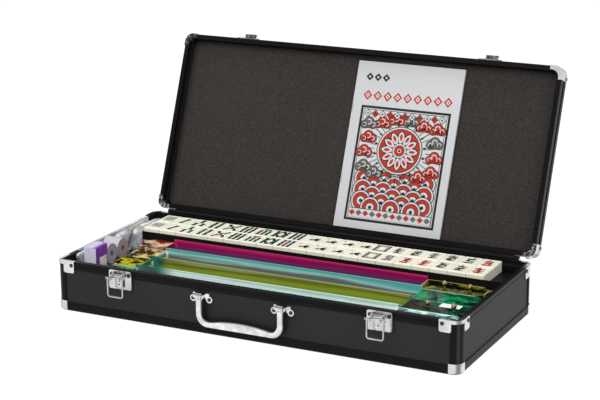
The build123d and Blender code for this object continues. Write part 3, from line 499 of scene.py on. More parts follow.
def foam_sheet(low, high, columns, rows, roll):
    """A sheet whose lower face is the soft one, since the lid is shaped while shut."""
    shell = bmesh.new()
    middle, half = (low + high) / 2, (high - low) / 2
    point = {}
    for face in (0, 1):
        for row in range(rows + 1):
            for column in range(columns + 1):
                u, v = [0.5 - 0.5 * math.cos(math.pi * share) for share in (column / columns, row / rows)]
                x, y = low.x + (high.x - low.x) * u, low.y + (high.y - low.y) * v
                (x, y), edge = rounded((x - middle.x, y - middle.y), (half.x, half.y))
                x, y = x + middle.x, y + middle.y
                z = high.z
                if face == 0:
                    rolled = max(0.0, 1 - edge / roll)
                    wave = 0.5 + 0.5 * noise.noise(Vector((x * 9, y * 9, 0.3)))
                    drop = 1 - math.sqrt(max(0.0, 1 - rolled**2))
                    z = low.z + roll * 0.8 * drop + WAVE * wave
                point[face, row, column] = shell.verts.new((x, y, z))
    corners = ((0, 0), (0, 1), (1, 1), (1, 0))
    for row in range(rows):
        for column in range(columns):
            for face in (0, 1):
                shell.faces.new([point[face, row + up, column + side] for up, side in corners])
    for row in range(rows):
        for column in (0, columns):
            shell.faces.new([point[face, row + up, column] for face, up in corners])
    for column in range(columns):
        for row in (0, rows):
            shell.faces.new([point[face, row, column + side] for face, side in corners])
    return shell


foam_low, foam_high = shut_box("lid_foam_pad")
foam = piece("lid_foam", foam_sheet(foam_low, foam_high, 90, 50, 2.2 * MM), foam_finish(), "lid",
             ["lid_foam_pad"], swung=True, smooth=True)
print("foam", [round(size / MM) for size in foam_high - foam_low], "mm")

# %% [markdown]
# ## Marks on the tiles
# A tile's marks are cut in and filled with paint. Each mark is a tiny flat shape: a bamboo stick, a
# ring, a frame, a blossom or a stroke. One Geometry Nodes tree puts them on a cloud of points. A
# point says which shape it takes, how it is turned and sized, and the colour of its paint.


# %% The mark shapes
MARK_DEPTH = 0.12 * MM


def prism(shell, outline, low, high):
    """A closed flat plate from an outline, between two heights."""
    under = [shell.verts.new((x, y, low)) for x, y in outline]
    over = [shell.verts.new((x, y, high)) for x, y in outline]
    shell.faces.new(list(reversed(under)))
    shell.faces.new(over)
    count = len(outline)
    for i in range(count):
        j = (i + 1) % count
        shell.faces.new((under[i], under[j], over[j], over[i]))


def ring(shell, outline, hole, low, high):
    """A closed flat ring between two outlines with as many points."""
    loops = [[shell.verts.new((x, y, z)) for x, y in line] for z in (low, high) for line in (outline, hole)]
    count = len(outline)
    for i in range(count):
        j = (i + 1) % count
        for one, other in ((0, 1), (1, 3), (3, 2), (2, 0)):
            shell.faces.new((loops[one][i], loops[one][j], loops[other][j], loops[other][i]))


def polygon(count, radius, offset=0.0):
    """Points evenly round a circle."""
    steps = [2 * math.pi * i / count + offset for i in range(count)]
    return [(radius * math.cos(step), radius * math.sin(step)) for step in steps]


def box_outline(x, y):
    """The corners of a rectangle round the origin, from its half sizes."""
    return [(-x, -y), (x, -y), (x, y), (-x, y)]


def plate(outline, depth=MARK_DEPTH):
    """A drawing of one flat plate."""
    return lambda shell: prism(shell, outline, 0, depth)


def ring_mark(shell):
    """A ring with a dot in it."""
    ring(shell, polygon(12, 0.5), polygon(12, 0.34), 0, MARK_DEPTH)
    prism(shell, polygon(8, 0.16), 0, MARK_DEPTH)


def frame_mark(shell):
    """An upright frame."""
    corners = box_outline(0.5, 0.5)
    ring(shell, corners, [(x * 0.72, y * 0.8) for x, y in corners], 0, MARK_DEPTH)


STICK_OUTLINE = [(-0.5, -0.5), (0.5, -0.5), (0.36, -0.06), (0.36, 0.06), (0.5, 0.5), (-0.5, 0.5),
                 (-0.36, 0.06), (-0.36, -0.06)]
STROKE_OUTLINE = [(-0.5, -0.3), (-0.2, -0.5), (0.5, -0.12), (0.5, 0.12), (-0.2, 0.5), (-0.5, 0.3)]
PETAL_REACH = (0.24, 0.5, 0.5, 0.24) * 5
BLOSSOM_OUTLINE = [(x * reach, y * reach) for (x, y), reach in zip(polygon(20, 1), PETAL_REACH)]


def shape_collection(name, drawings):
    """A collection with one object for each drawing, in the order of their names."""
    collection = bpy.data.collections.new(name)
    for label, draw in drawings.items():
        shell = bmesh.new()
        draw(shell)
        collection.objects.link(bpy.data.objects.new(label, baked(label, shell)))
    return collection


MARK_SHAPES = shape_collection("mark shapes", {
    "a_stick": plate(STICK_OUTLINE), "b_ring": ring_mark, "c_frame": frame_mark,
    "d_blossom": plate(BLOSSOM_OUTLINE), "e_stroke": plate(STROKE_OUTLINE)})
STICK, RING, FRAME, BLOSSOM, STROKE = range(5)


# %% The tree that sets the marks
def scatter_tree():
    """Puts a shape of a collection on each point and gives the result one material."""
    tree = bpy.data.node_groups.new("set shapes on points", "GeometryNodeTree")
    sockets = (("Points", "Geometry"), ("Shapes", "Collection"), ("Paint", "Material"), ("Size", "Float"))
    for name, kind in sockets:
        tree.interface.new_socket(name, in_out="INPUT", socket_type="NodeSocket" + kind)
    tree.interface.new_socket("Geometry", in_out="OUTPUT", socket_type="NodeSocketGeometry")
    new = tree.nodes.new
    given, done = new("NodeGroupInput"), new("NodeGroupOutput")
    shapes, put = new("GeometryNodeCollectionInfo"), new("GeometryNodeInstanceOnPoints")
    for node, name in ((shapes, "Separate Children"), (shapes, "Reset Children"), (put, "Pick Instance")):
        node.inputs[name].default_value = True
    which, turned, sized = [new("GeometryNodeInputNamedAttribute") for _ in range(3)]
    for node, kind, name in ((which, "INT", "shape"), (turned, "FLOAT_VECTOR", "turn"),
                             (sized, "FLOAT_VECTOR", "size")):
        node.data_type = kind
        node.inputs["Name"].default_value = name
    euler, scale = new("FunctionNodeEulerToRotation"), new("ShaderNodeVectorMath")
    scale.operation = "SCALE"
    realize, paint = new("GeometryNodeRealizeInstances"), new("GeometryNodeSetMaterial")
    for source, output, target, socket in (
        (given, "Shapes", shapes, "Collection"), (given, "Points", put, "Points"),
        (shapes, 0, put, "Instance"), (which, "Attribute", put, "Instance Index"),
        (turned, "Attribute", euler, 0), (euler, 0, put, "Rotation"), (sized, "Attribute", scale, 0),
        (given, "Size", scale, "Scale"), (scale, 0, put, "Scale"), (put, 0, realize, 0),
        (realize, 0, paint, "Geometry"), (given, "Paint", paint, "Material"), (paint, 0, done, 0),
    ):
        tree.links.new(source.outputs[output], target.inputs[socket])
    return tree


SCATTER = scatter_tree()


def scatter(name, spots, shapes, material):
    """The mesh of shapes on spots. A spot is its place, shape number, turn, size and colour."""
    places, kinds, turns, sizes, colors = zip(*spots)
    cloud = bpy.data.meshes.new(name)
    cloud.from_pydata(places, [], [])
    for label, kind, key, values in (
        ("shape", "INT", "value", kinds), ("turn", "FLOAT_VECTOR", "vector", sum(turns, ())),
        ("size", "FLOAT_VECTOR", "vector", sum(sizes, ())),
        ("paint", "FLOAT_COLOR", "color", [part for color in colors for part in (*color, 1)]),
    ):
        cloud.attributes.new(label, kind, "POINT").data.foreach_set(key, values)
    holder = show(name, cloud)
    modifier = holder.modifiers.new("set", "NODES")
    modifier.node_group = SCATTER
    sockets = {item.name: item.identifier for item in SCATTER.interface.items_tree}
    for label, value in (("Shapes", shapes), ("Paint", material), ("Size", 1.0)):
        modifier[sockets[label]] = value
    graph = bpy.context.evaluated_depsgraph_get()
    plain = bpy.data.meshes.new_from_object(holder.evaluated_get(graph))
    bpy.data.objects.remove(holder)
    return plain


def paint_finish(name, roughness, shine=0.15):
    """Paint that takes its colour from the piece."""
    finish = Finish(name, (0.1, 0.1, 0.1), roughness, Specular_IOR_Level=shine)
    return finish.done(finish.node("ShaderNodeAttribute", {"attribute_name": "paint"}))


# %% [markdown]
# Each tray holds two rows of tiles in the same order: a dotted one, sticks by number, leafy sprays,
# a plain frame, grey and dark strokes, and then green and red ones. Further columns get rings.

# %% Placing the marks
LEAF, BLUE, RED = (0.006, 0.06, 0.03), (0.02, 0.05, 0.12), (0.42, 0.008, 0.014)
INK, GREY = (0.012, 0.014, 0.014), (0.14, 0.135, 0.16)
TILE_PITCH, FIRST_TILE = (22.4 * MM, 30.0 * MM), (11.1 * MM, 14.9 * MM)
LENGTHS = {1: 17, 3: 11, 4: 11, 5: 9, 6: 11.5, 7: 8, 8: 10.5, 9: 7.4}
PATTERNS = {
    1: [(0, 0, -0.3)], 3: [(0, 6.5, 0), (-5, -6, 0), (5, -6, 0)],
    4: [(-4.2, 6.5, 0), (4.2, 6.5, 0), (-4.2, -6.5, 0), (4.2, -6.5, 0)],
    5: [(-5.5, 6.5, 0.5), (5.5, 6.5, -0.5), (0, 0, 0), (-5.5, -6.5, -0.5), (5.5, -6.5, 0.5)],
    6: [(x, y, 0) for y in (6.3, -6.3) for x in (-6, 0, 6)],
    7: [(0, 9.8, 1.57)] + [(x, y, 0) for y in (2.4, -7) for x in (-6, 0, 6)],
    8: [(x, y * side, tilt * side) for side in (1, -1)
        for x, y, tilt in ((-7, 6, 0), (-2.6, 6.5, -0.5), (2.6, 6.5, 0.5), (7, 6, 0))],
    9: [(x, y, 0) for y in (8.6, 0, -8.6) for x in (-6, 0, 6)],
}


def suit_marks(shape, value, colors, rng):
    """The marks of a numbered tile: where, which, turn, size and colour."""
    marks = []
    for order, (x, y, tilt) in enumerate(PATTERNS[value]):
        if shape == STICK:
            size = (4.8 if value < 5 else 4.2, LENGTHS[value], 1)
        else:
            reach = 16 if value == 1 else (8.4 if value < 6 else 6.2)
            size = (reach, reach, 1)
        marks.append((x, y, shape, tilt + 0.05 * rng.uniform(-1, 1), size, colors[order % len(colors)]))
    return marks


def stroke_marks(rng, color, count):
    """Strokes across and upright, packed into a block, with no meaning."""
    marks = []
    for order in range(count):
        upright = order % 3 == 2
        x = rng.uniform(-4, 4)
        y = -8.5 + 17 * order / (count - 1)
        size = (rng.uniform(7, 9) if upright else rng.uniform(9, 12), rng.uniform(2, 2.8), 1)
        tilt = (1.5 if upright else 0) + rng.uniform(-0.12, 0.12)
        marks.append((x if upright else x / 4, y, STROKE, tilt, size, color))
    return marks


def bird_marks(rng):
    """A dark leafy spray with a small leaf by itself at the upper left."""
    marks = [(-6.5, 8, BLOSSOM, 0.4, (3.4, 2.8, 1), GREY)]
    for order in range(5):
        turn_by = -0.6 + 0.42 * order
        x, y = 1.5 + 3.6 * math.cos(turn_by), -2.5 + 4.4 * math.sin(turn_by)
        marks.append((x, y, STROKE, turn_by + rng.uniform(-0.2, 0.2), (8, 2.8, 1), (INK, LEAF)[order % 2]))
    marks.append((-2, -3.5, BLOSSOM, 0, (6, 6.5, 1), LEAF))
    return marks


def dotted_marks():
    """A grey block of dots."""
    return [(x * 3.5 - 5.25, y * 3.9 - 4, RING, 0, (4.3, 4.3, 1), GREY) for x in range(4) for y in range(4)]


def tile_marks(column, row, rng):
    """The marks of one tile, by its place in the tray."""
    if column == 0:
        return dotted_marks()
    if column < 9:
        value = (1, 3, 4, 5, 6, 7, 8, 9)[column - 1]
        colors = (INK, LEAF) if row else (LEAF, INK, LEAF) if column % 2 else (LEAF, LEAF, BLUE)
        marks = suit_marks(STICK, value, colors, rng)
        red_stick = {5: 2, 7: 0, 9: 4}.get(value)
        if row == 0 and red_stick is not None:
            marks[red_stick] = (*marks[red_stick][:5], RED)
        return marks
    if column < 13:
        return bird_marks(rng)
    if column == 13:
        return [(0, 0, FRAME, 0, (16, 20, 1), INK), (0, 0, FRAME, 0, (10.6, 13.6, 1), GREY)]
    if column < 18:
        return stroke_marks(rng, RED if row == 0 and column in (15, 16) else (GREY, INK)[column % 2], 10)
    if column < 20:
        return stroke_marks(rng, LEAF if column == 18 else RED, 9)
    return suit_marks(RING, 1 + 3 * row, (BLUE, RED), rng)


TILE_PAINT = paint_finish("tile paint", 0.35)
TILE_CLEAR = 0.03 * MM
BOLD = 1.12
for number in range(1, 5):
    rng = random.Random(40 + number)
    tiles_low, tiles_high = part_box(f"tiles_{number}")
    spots = []
    columns = round((tiles_high.x - tiles_low.x) / TILE_PITCH[0])
    for column in range(columns):
        for row in range(2):
            centre_x = tiles_low.x + FIRST_TILE[0] + column * TILE_PITCH[0]
            centre_y = tiles_low.y + FIRST_TILE[1] + row * TILE_PITCH[1]
            for x, y, shape, tilt, size, color in tile_marks(column, row, rng):
                at = (centre_x + x * MM, centre_y + y * MM, tiles_high.z - MARK_DEPTH + TILE_CLEAR)
                spots.append((at, shape, (0, 0, tilt), (size[0] * BOLD * MM, size[1] * BOLD * MM, 1), color))
    piece(f"tile_marks_{number}", scatter(f"tile_marks_{number}", spots, MARK_SHAPES, TILE_PAINT), None,
          f"tray_{number}")
print("tile marks set on", columns, "columns")

# %% [markdown]
# ## Printed and moulded pieces in the well
# The card box is printed card, and the chips are clear tinted plastic with pressed rings. Their
# solids have the right shape already, so each only needs a finish that knows where its faces are.


# %% Card box and chips
def card_finish():
    """Purple card with a pale front and top and a small white panel with a soft warm print."""
    low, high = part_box("purple_card_box")
    skin = 0.2 * MM
    finish = Finish("printed purple card", (0.16, 0.03, 0.35), 0.4, Specular_IOR_Level=0.4)
    x, y, z = finish.axes()
    wear = finish.noise(160, 3)
    purple = finish.mix(wear, (0.13, 0.018, 0.3), (0.26, 0.07, 0.46))
    pale = finish.mix(wear, (0.6, 0.54, 0.74), (0.8, 0.76, 0.88))
    print_cloud = finish.ramp(finish.noise(300, 2), (0.44, (0.85, 0.82, 0.84)), (0.56, (0.8, 0.6, 0.6)),
                              (0.66, (0.84, 0.78, 0.55)))
    panel = (y > low.y + 8 * MM) * (y < high.y - 2 * MM) * (z < low.z + 17 * MM) * (z > low.z + 3 * MM)
    side = finish.mix(panel, purple, print_cloud)
    end = finish.mix(y < low.y + skin, purple, pale)
    top = finish.mix(finish.smooth(x, low.x + 11 * MM, low.x + 14 * MM), (0.52, 0.46, 0.62), purple)
    body = finish.mix(x > high.x - skin, end, side)
    color = finish.mix(z > high.z - skin, body, top)
    return finish.done(color, 0.34 + wear * 0.2, (wear, 0.00015, 0.5))


def chip_finish():
    """Clear lavender and pink plastic, with rings round the hole and a joint line between chips."""
    low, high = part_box("chip_rolls")
    finish = Finish("ringed chip plastic", (0.7, 0.5, 0.7), 0.12, Coat_Weight=0.4, Transmission_Weight=0.3)
    x, y, z = finish.axes()
    pitch = (high.y - low.y) / 2
    across = (y - (low.y + pitch / 2)).math("PINGPONG", pitch / 2)
    up = z - (low.z + high.z) / 2
    reach = (across * across + up * up).math("SQRT", 0)
    rings = (reach * (math.pi / (1.6 * MM))).math("SINE", 0).math("ABSOLUTE", 0)
    joint = (x * (math.pi / (3.6 * MM))).math("SINE", 0).math("ABSOLUTE", 0)
    tint = finish.mix(y > (low.y + high.y) / 2, (0.4, 0.34, 0.52), (0.5, 0.26, 0.34))
    body = finish.mix(finish.smooth(rings, 0.5, 0.95), tint, (0.7, 0.66, 0.72))
    color = finish.mix(finish.smooth(joint, 0.0, 0.3), (0.3, 0.22, 0.34), body)
    return finish.done(color, 0.08 + finish.noise(90, 2) * 0.14, (joint + rings * 0.5, 0.0003, 0.6))


dress("purple_card_box", card_finish())
dress("chip_rolls", chip_finish())
print("card box and chips dressed")

# %% [markdown]
# ## Clear bags
# Spare counters and dice sit in thin clear bags. Such a bag is a crumpled closed shell: full where
# something presses from inside, creased where nothing does. A sphere of small faces is pushed out
# to a rounded box and dented by folded noise. The film is nearly see-through, with milky streaks
# where it creases, which the Alpha socket carries; these streaks are also painted highlights.


# %% Film and bag shell
def film_finish(name, tint, milk_and_highlight, low_alpha, high_alpha):
    """Thin clear film that turns milky where it creases; the milky streaks are also painted highlights."""
    finish = Finish(name, tint, 0.16, Specular_IOR_Level=0.7, Coat_Weight=0.4)
    crease = finish.smooth(finish.noise(60, 5, (1, 0.5, 1.6)), 0.42, 0.66)
    fine = finish.noise(210, 3)
    finish.set("Alpha", low_alpha + crease * (high_alpha - low_alpha) + fine * 0.1)
    return finish.done(finish.mix(crease, tint, milk_and_highlight), 0.1 + fine * 0.2, (crease + fine * 0.4, 0.0012, 0.8))


def bag_shell(low, high, seed, depth):
    """A rounded box crumpled inwards."""
    shell = bmesh.new()
    bmesh.ops.create_icosphere(shell, subdivisions=5, radius=1)
    middle, half = (low + high) / 2, (high - low) / 2
    shift = Vector((seed * 7.1, seed * 3.3, seed * 1.7))
    for vertex in shell.verts:
        toward = vertex.co.normalized()
        full = sum(abs(part) ** 6 for part in toward) ** (-1 / 6)
        place = Vector([part * full * size for part, size in zip(toward, half)])
        fold = abs(noise.noise(place * 34 + shift)) * 1.6 + abs(noise.noise(place * 95 + shift)) * 0.7
        sag = 0.5 + 0.5 * toward.z
        vertex.co = middle + place * (1 - depth * fold * (0.4 + 0.6 * sag))
    return shell


def clear_bag(name, corners, body, seed, depth, film, replaces=()):
    """A bag piece in the room between two corners."""
    bag = piece(name, bag_shell(*corners, seed, depth), film, body, replaces, smooth=True)


BLUE_FILM = film_finish("bluish clear film", (0.5, 0.55, 0.66), (0.86, 0.88, 0.93), 0.16, 0.62)
WHITE_FILM = film_finish("milky clear film", (0.66, 0.68, 0.72), (0.93, 0.94, 0.94), 0.4, 0.9)
GREEN_FILM = film_finish("greenish clear film", (0.4, 0.5, 0.36), (0.8, 0.86, 0.76), 0.1, 0.5)
for node, name, body, seed, depth, film in (
    ("accessory_bag_lower", "bag_of_counters", "accessory_bag", 1, 0.1, GREEN_FILM),
    ("accessory_bag_upper", "bag_fold", "accessory_bag", 2, 0.16, BLUE_FILM),
    ("accessory_bag_rear", "bag_at_the_back", "rear_bag", 3, 0.12, WHITE_FILM),
):
    clear_bag(name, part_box(node), body, seed, depth, film, [node])
bag_low, bag_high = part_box("accessory_bag_lower")
chips_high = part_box("chip_rolls")[1]
mouth = (Vector((bag_low.x + 0.2 * MM, chips_high.y + 0.6 * MM, bag_high.z - 4 * MM)),
         Vector((bag_low.x + 9 * MM, bag_high.y, bag_high.z + 22.5 * MM)))
clear_bag("bag_mouth", mouth, "accessory_bag", 4, 0.05, BLUE_FILM)
print("bags:", WHITE_FILM.name, BLUE_FILM.name, GREEN_FILM.name)

# %% [markdown]
# The bag is longer than its place, so its slack film laps over the left rim and hangs a few
# millimetres down outside. It is drawn as one thin section that is carried along the rim; ripples
# grow towards its free edge, and where the lid closes on it, it lies flat.


# %% Film over the rim
def lap_finish():
    """Slack clear film, bluish at the front and milkier to the back."""
    finish = Finish("slack clear film", (0.7, 0.72, 0.76), 0.2, Specular_IOR_Level=0.5)
    _, y, _ = finish.axes()
    back = finish.smooth(y, -0.02, 0.05)
    crease = finish.smooth(finish.noise(75, 5, (1, 0.6, 1.6)), 0.4, 0.66)
    fine = finish.noise(210, 3)
    finish.set("Alpha", 0.2 + back * 0.22 + crease * 0.3 + fine * 0.08)
    color = finish.mix(back, (0.6, 0.64, 0.74), (0.92, 0.92, 0.87))
    return finish.done(color, 0.12 + fine * 0.2, (crease + fine * 0.4, 0.0008, 0.8))


LAP_STEPS, LAP_FILM = 130, 0.14 * MM
LAP_START, LAP_LENGTH = -72 * MM, 158 * MM
ON_TOP, OFF_WALL, BEND = 0.04 * MM, 0.08 * MM, 0.9 * MM
rim_low, rim_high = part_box("base_rim_frame")
wall_face = rim_low.x + 5.8 * MM
lap = bmesh.new()
sections = []
for step in range(LAP_STEPS + 1):
    y = LAP_START + LAP_LENGTH * step / LAP_STEPS
    wander = noise.noise(Vector((y * 60, 2.0, 0)))
    ripple = (0.35 + 0.3 * noise.noise(Vector((y * 170, 9.0, 0)))) * MM
    hem = rim_high.z - (4.5 + 2.4 * wander) * MM
    foot = rim_high.z - (13 + 5 * wander) * MM
    inside, outside = wall_face + 0.06 * MM, rim_low.x - OFF_WALL
    top, bend = rim_high.z + ON_TOP, rim_high.z - BEND
    line = [(inside, foot), (inside, bend), (wall_face - 0.5 * MM, top), (rim_low.x + 0.7 * MM, top),
            (outside, bend), (outside - ripple, hem)]
    away = [(1, 0), (1, 0.3), (0.2, 1), (-0.2, 1), (-1, 0.3), (-1, 0)]
    skin = [(x + out * LAP_FILM, z + up * LAP_FILM) for (x, z), (out, up) in zip(line, away)]
    sections.append([lap.verts.new((x, y, z)) for x, z in line + skin[::-1]])
for one, other in zip(sections, sections[1:]):
    for corner in range(len(one)):
        following = (corner + 1) % len(one)
        lap.faces.new((one[corner], one[following], other[following], other[corner]))
lap.faces.new(sections[0])
lap.faces.new(sections[-1][::-1])
film_lap = piece("film_over_rim", lap, lap_finish(), "accessory_bag", smooth=True)
print("film over the rim:", round((rim_high.z + ON_TOP + LAP_FILM) / MM, 2), "mm high")

# %% [markdown]
# The lower bag holds small counters: discs, rods and blocks in cream, amber, green and dark red.
# They reuse the tree that sets the marks, with other shapes, and lie in loose layers.


# %% Counters in the bag
def disc_shape(shell):
    """A coin-shaped counter with a raised rim."""
    ring(shell, polygon(20, 0.5), polygon(20, 0.4), 0, 2.6 * MM)
    prism(shell, polygon(20, 0.4), 0.3 * MM, 2.1 * MM)


FLAT = 0.34
BLOCK_OUTLINE = [(FLAT, -0.5), (0.5, -FLAT), (0.5, FLAT), (FLAT, 0.5), (-FLAT, 0.5), (-0.5, FLAT),
                 (-0.5, -FLAT), (-FLAT, -0.5)]
COUNTERS = shape_collection("counters", {
    "a_disc": disc_shape, "b_rod": plate(box_outline(0.5, 0.07), 3 * MM),
    "c_block": plate(BLOCK_OUTLINE, 9 * MM)})
COUNTER_COLORS = [(0.8, 0.72, 0.45), (0.55, 0.36, 0.03), (0.05, 0.22, 0.07), (0.2, 0.01, 0.012),
                  (0.75, 0.74, 0.66), (0.02, 0.02, 0.02)]
rng = random.Random(11)
spots = []
for order in range(64):
    level = 5 + order % 6 * 4.2
    kind = rng.choice((0, 0, 1, 2)) if order % 6 < 5 else 0
    size = (15, 24, 9.5)[kind] * MM
    place = (rng.uniform(bag_low.x + 12 * MM, bag_high.x - 12 * MM),
             rng.uniform(bag_low.y + 14 * MM, bag_high.y - 14 * MM), bag_low.z + level * MM)
    turned = (rng.uniform(-0.12, 0.12), rng.uniform(-0.12, 0.12), rng.uniform(1.0, 2.1))
    spots.append((place, kind, turned, (size, size, 0.9), rng.choice(COUNTER_COLORS)))
counter_mesh = scatter("counters", spots, COUNTERS, paint_finish("counter plastic", 0.25, 0.5))
piece("counters", counter_mesh, None, "accessory_bag")
print("counters:", len(spots))

# %% [markdown]
# ## The booklet
# A stapled booklet leans in the lid. Its cover is white with a black double frame, and in the frame
# a bold two-colour pattern in the manner of old block prints: scallop waves below, a blossom medal in
# the middle, clouds round it and a row of lozenges above. The pattern is this lesson's own. Its inks are thin
# plates set by the same tree, the ones on top a hair higher than the ones below.


# %% Paper
def paper_finish():
    """Coated white paper; its edges show the pages as fine grey lines."""
    low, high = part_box("booklet")
    finish = Finish("booklet paper", (0.6, 0.61, 0.64), 0.4, Specular_IOR_Level=0.15)
    x, _, _ = finish.axes()
    at_edge = (x > high.x - 0.15 * MM).math("MAXIMUM", x < low.x + 0.15 * MM)
    pages = finish.noise(2400, 1, (0.01, 1, 1))
    shade = finish.mix(finish.noise(7, 2), (0.47, 0.475, 0.485), (0.56, 0.565, 0.58))
    color = finish.mix(at_edge * finish.smooth(pages, 0.4, 0.6) * 0.7, shade, (0.3, 0.3, 0.32))
    return finish.done(color, 0.3 + finish.noise(60, 2) * 0.14, (finish.noise(12, 1), 0.0006, 0.5))


dress("booklet", paper_finish())


# %% Print shapes
def curl_print(shell):
    """An open hook, like the end of a cloud."""
    outer = [(math.cos(step), math.sin(step)) for step in [0.3 * i for i in range(15)]]
    inner = [(0.66 * x, 0.66 * y) for x, y in outer]
    under, over = [[[shell.verts.new((x, y, z)) for x, y in line] for line in (outer, inner)]
                   for z in (0, MARK_DEPTH)]
    for i in range(14):
        for loops, flip in ((under, 1), (over, 0)):
            quad = [loops[0][i], loops[0][i + 1], loops[1][i + 1], loops[1][i]]
            shell.faces.new(quad[::-1] if flip else quad)
        for side in (0, 1):
            shell.faces.new((under[side][i], under[side][i + 1], over[side][i + 1], over[side][i]))
    for i in (0, 14):
        shell.faces.new((under[0][i], under[1][i], over[1][i], over[0][i]))


petal_side = [(0.2, 0.2), (0.5, 0.33), (0.8, 0.24)]
PETAL_OUTLINE = [(0, 0)] + [(x, -y) for x, y in petal_side] + [(1, 0)] + petal_side[::-1]
PRINTS = shape_collection("prints", {
    "a_round": plate(polygon(28, 1)), "b_bar": plate(box_outline(0.5, 0.5)),
    "c_lozenge": plate([(0, -0.5), (0.5, 0), (0, 0.5), (-0.5, 0)]), "d_petal": plate(PETAL_OUTLINE),
    "e_curl": curl_print})
ROUND, BAR, LOZENGE, PETAL, CURL = range(5)
BLACK_INK, RED_INK = (0.02, 0.018, 0.018), (0.42, 0.035, 0.02)
WHITE_INK, GREY_INK = (0.55, 0.56, 0.57), (0.13, 0.12, 0.11)


# %% Composing the cover
cover_low, cover_high = shut_box("booklet")
cover_spots = []


def ink(u, v, kind, size, color, layer, turn_by=0.0):
    """Prints a shape on the cover, u millimetres from its left edge and v from its foot."""
    sizes = size if isinstance(size, tuple) else (size, size)
    rise = (0.03 + 0.012 * layer) * MM
    place = (cover_low.x + u * MM, cover_high.y - v * MM, cover_low.z - rise)
    scale = (sizes[0] * MM, sizes[1] * MM, 1 + layer * 0.11)
    cover_spots.append((place, kind, (0, 0, math.pi + turn_by), scale, color))


def bar(left, right, low, high, color, layer):
    """A full rectangle between its edges."""
    ink((left + right) / 2, (low + high) / 2, BAR, (right - left, high - low), color, layer)


def nest(u, v, steps, layer, kind=ROUND):
    """Shapes of one kind on each other, from the largest to the smallest."""
    for order, (size, color) in enumerate(steps):
        ink(u, v, kind, size, color, layer + order)


def around(count, reach, flat=1.0, start=0.0):
    """Places evenly round the medal: their number, place and angle."""
    for order in range(count):
        angle = 2 * math.pi * (order + start) / count
        yield order, MEDAL[0] + reach * math.cos(angle), MEDAL[1] + reach * flat * math.sin(angle), angle


def along(count, left, right):
    """Places evenly along a line, each in the middle of its share."""
    for order in range(count):
        yield order, left + (right - left) * (order + 0.5) / count


LEFT, RIGHT, FOOT, HEAD = 12.6, 131.0, 10.0, 153.0
MEDAL = ((LEFT + RIGHT) / 2, 101.0)
for layer, (inset, color) in enumerate(((0, BLACK_INK), (3, WHITE_INK), (4, BLACK_INK), (4.8, WHITE_INK))):
    bar(LEFT + inset, RIGHT - inset, FOOT + inset, HEAD - inset, color, layer)
inner_left, inner_right = LEFT + 5.2, RIGHT - 5.2
wave = (inner_right - inner_left) / 8
SCALLOP = ((1, BLACK_INK), (0.92, WHITE_INK), (0.78, BLACK_INK), (0.72, RED_INK), (0.44, BLACK_INK),
           (0.38, WHITE_INK), (0.16, BLACK_INK))
for row in range(6):
    for order in range(4 - row % 2):
        u = inner_left + wave * (1 + 2 * order + row % 2)
        v = FOOT + 4.6 + wave + (5 - row) * wave * 0.52
        nest(u, v, [(wave * share, color) for share, color in SCALLOP], 4 + row * 7)
nest(*MEDAL, ((30, BLACK_INK), (29, WHITE_INK), (27.2, BLACK_INK), (26.4, RED_INK)), 46)
for order, _, _, angle in around(12, 7):
    for reach, size, color, layer in ((7, (18.4, 17), BLACK_INK, 50), (7.8, (16.4, 12.5), WHITE_INK, 51),
                                      (12, (9, 6), RED_INK, 52)):
        u, v = MEDAL[0] + reach * math.cos(angle), MEDAL[1] + reach * math.sin(angle)
        ink(u, v, PETAL, size, color, layer, math.pi - angle)
nest(*MEDAL, ((9.5, BLACK_INK), (8.8, WHITE_INK), (7, BLACK_INK), (6.4, RED_INK), (2.6, WHITE_INK),
              (1.6, BLACK_INK)), 53)
for order, u, v, angle in around(40, 39, 37 / 39):
    ink(u, v, BAR, (10 + 5 * (order % 2), 0.9), (BLACK_INK, GREY_INK)[order % 2], 28, math.pi - angle)
CLOUDS = ((27, 78, 1), (25, 96, 1), (28, 114, 1), (26, 131, 1), (44, 133, 1), (62, 138, 1),
          (81, 138, -1), (99, 133, -1), (117, 131, -1), (116, 114, -1), (118, 96, -1), (116, 78, -1),
          (42, 71, 1), (101, 71, -1))
for order, (u, v, side) in enumerate(CLOUDS):
    fill = RED_INK if order % 3 else GREY_INK
    lobes = ((-5.5, -1.5, 4.6), (0, 2, 6), (6, -1, 4.8))
    for grow, color, layer in ((0.8, BLACK_INK, 30), (0, fill, 31)):
        for aside, up, radius in lobes:
            ink(u + aside, v + up, ROUND, radius + grow, color, layer + order % 2 * 3)
        ink(u, v - 3.2, BAR, (14 + 2 * grow, 4 + 2 * grow), color, layer + order % 2 * 3)
    for aside, up, radius in lobes:
        ink(u + aside, v + up, CURL, radius * 0.6, WHITE_INK, 32 + order % 2 * 3, 0.9 * side)
for order, u, v, angle in around(16, 32.5, start=0.5):
    ink(u, v, LOZENGE, (5.4, 2.6), BLACK_INK, 46, math.pi - angle)
for order, u in along(11, inner_left, inner_right):
    filling = RED_INK if order % 2 else WHITE_INK
    nest(u, HEAD - 9.4, ((9.6, BLACK_INK), (7.8, filling), (3, BLACK_INK)), 40, LOZENGE)
for order in range(9):
    u = LEFT + 6 + (RIGHT - LEFT - 12) * order / 8
    nest(u, 166, (((11.6, 12.6), RED_INK), ((6.2, 7), WHITE_INK), ((2.4, 3), RED_INK)), 0, LOZENGE)
band, shore = FOOT + 4.2, FOOT + 5 + wave * 0.8
bar(inner_left, inner_right, band, shore, BLACK_INK, 47)
bar(inner_left, inner_right, band, shore - 0.8, WHITE_INK, 48)
for order, u in along(12, inner_left, inner_right):
    ink(u, (band + shore) / 2, LOZENGE, (8.4, 7.6), (RED_INK, GREY_INK)[order % 2], 49)
for order in range(3):
    nest(LEFT + 5 + 11 * order, 189, ((10, BLACK_INK), (3.6, WHITE_INK)), 0, LOZENGE)
for v in (60, 148):
    bar(0.7, 1.2, v - 6, v + 6, GREY_INK, 0)
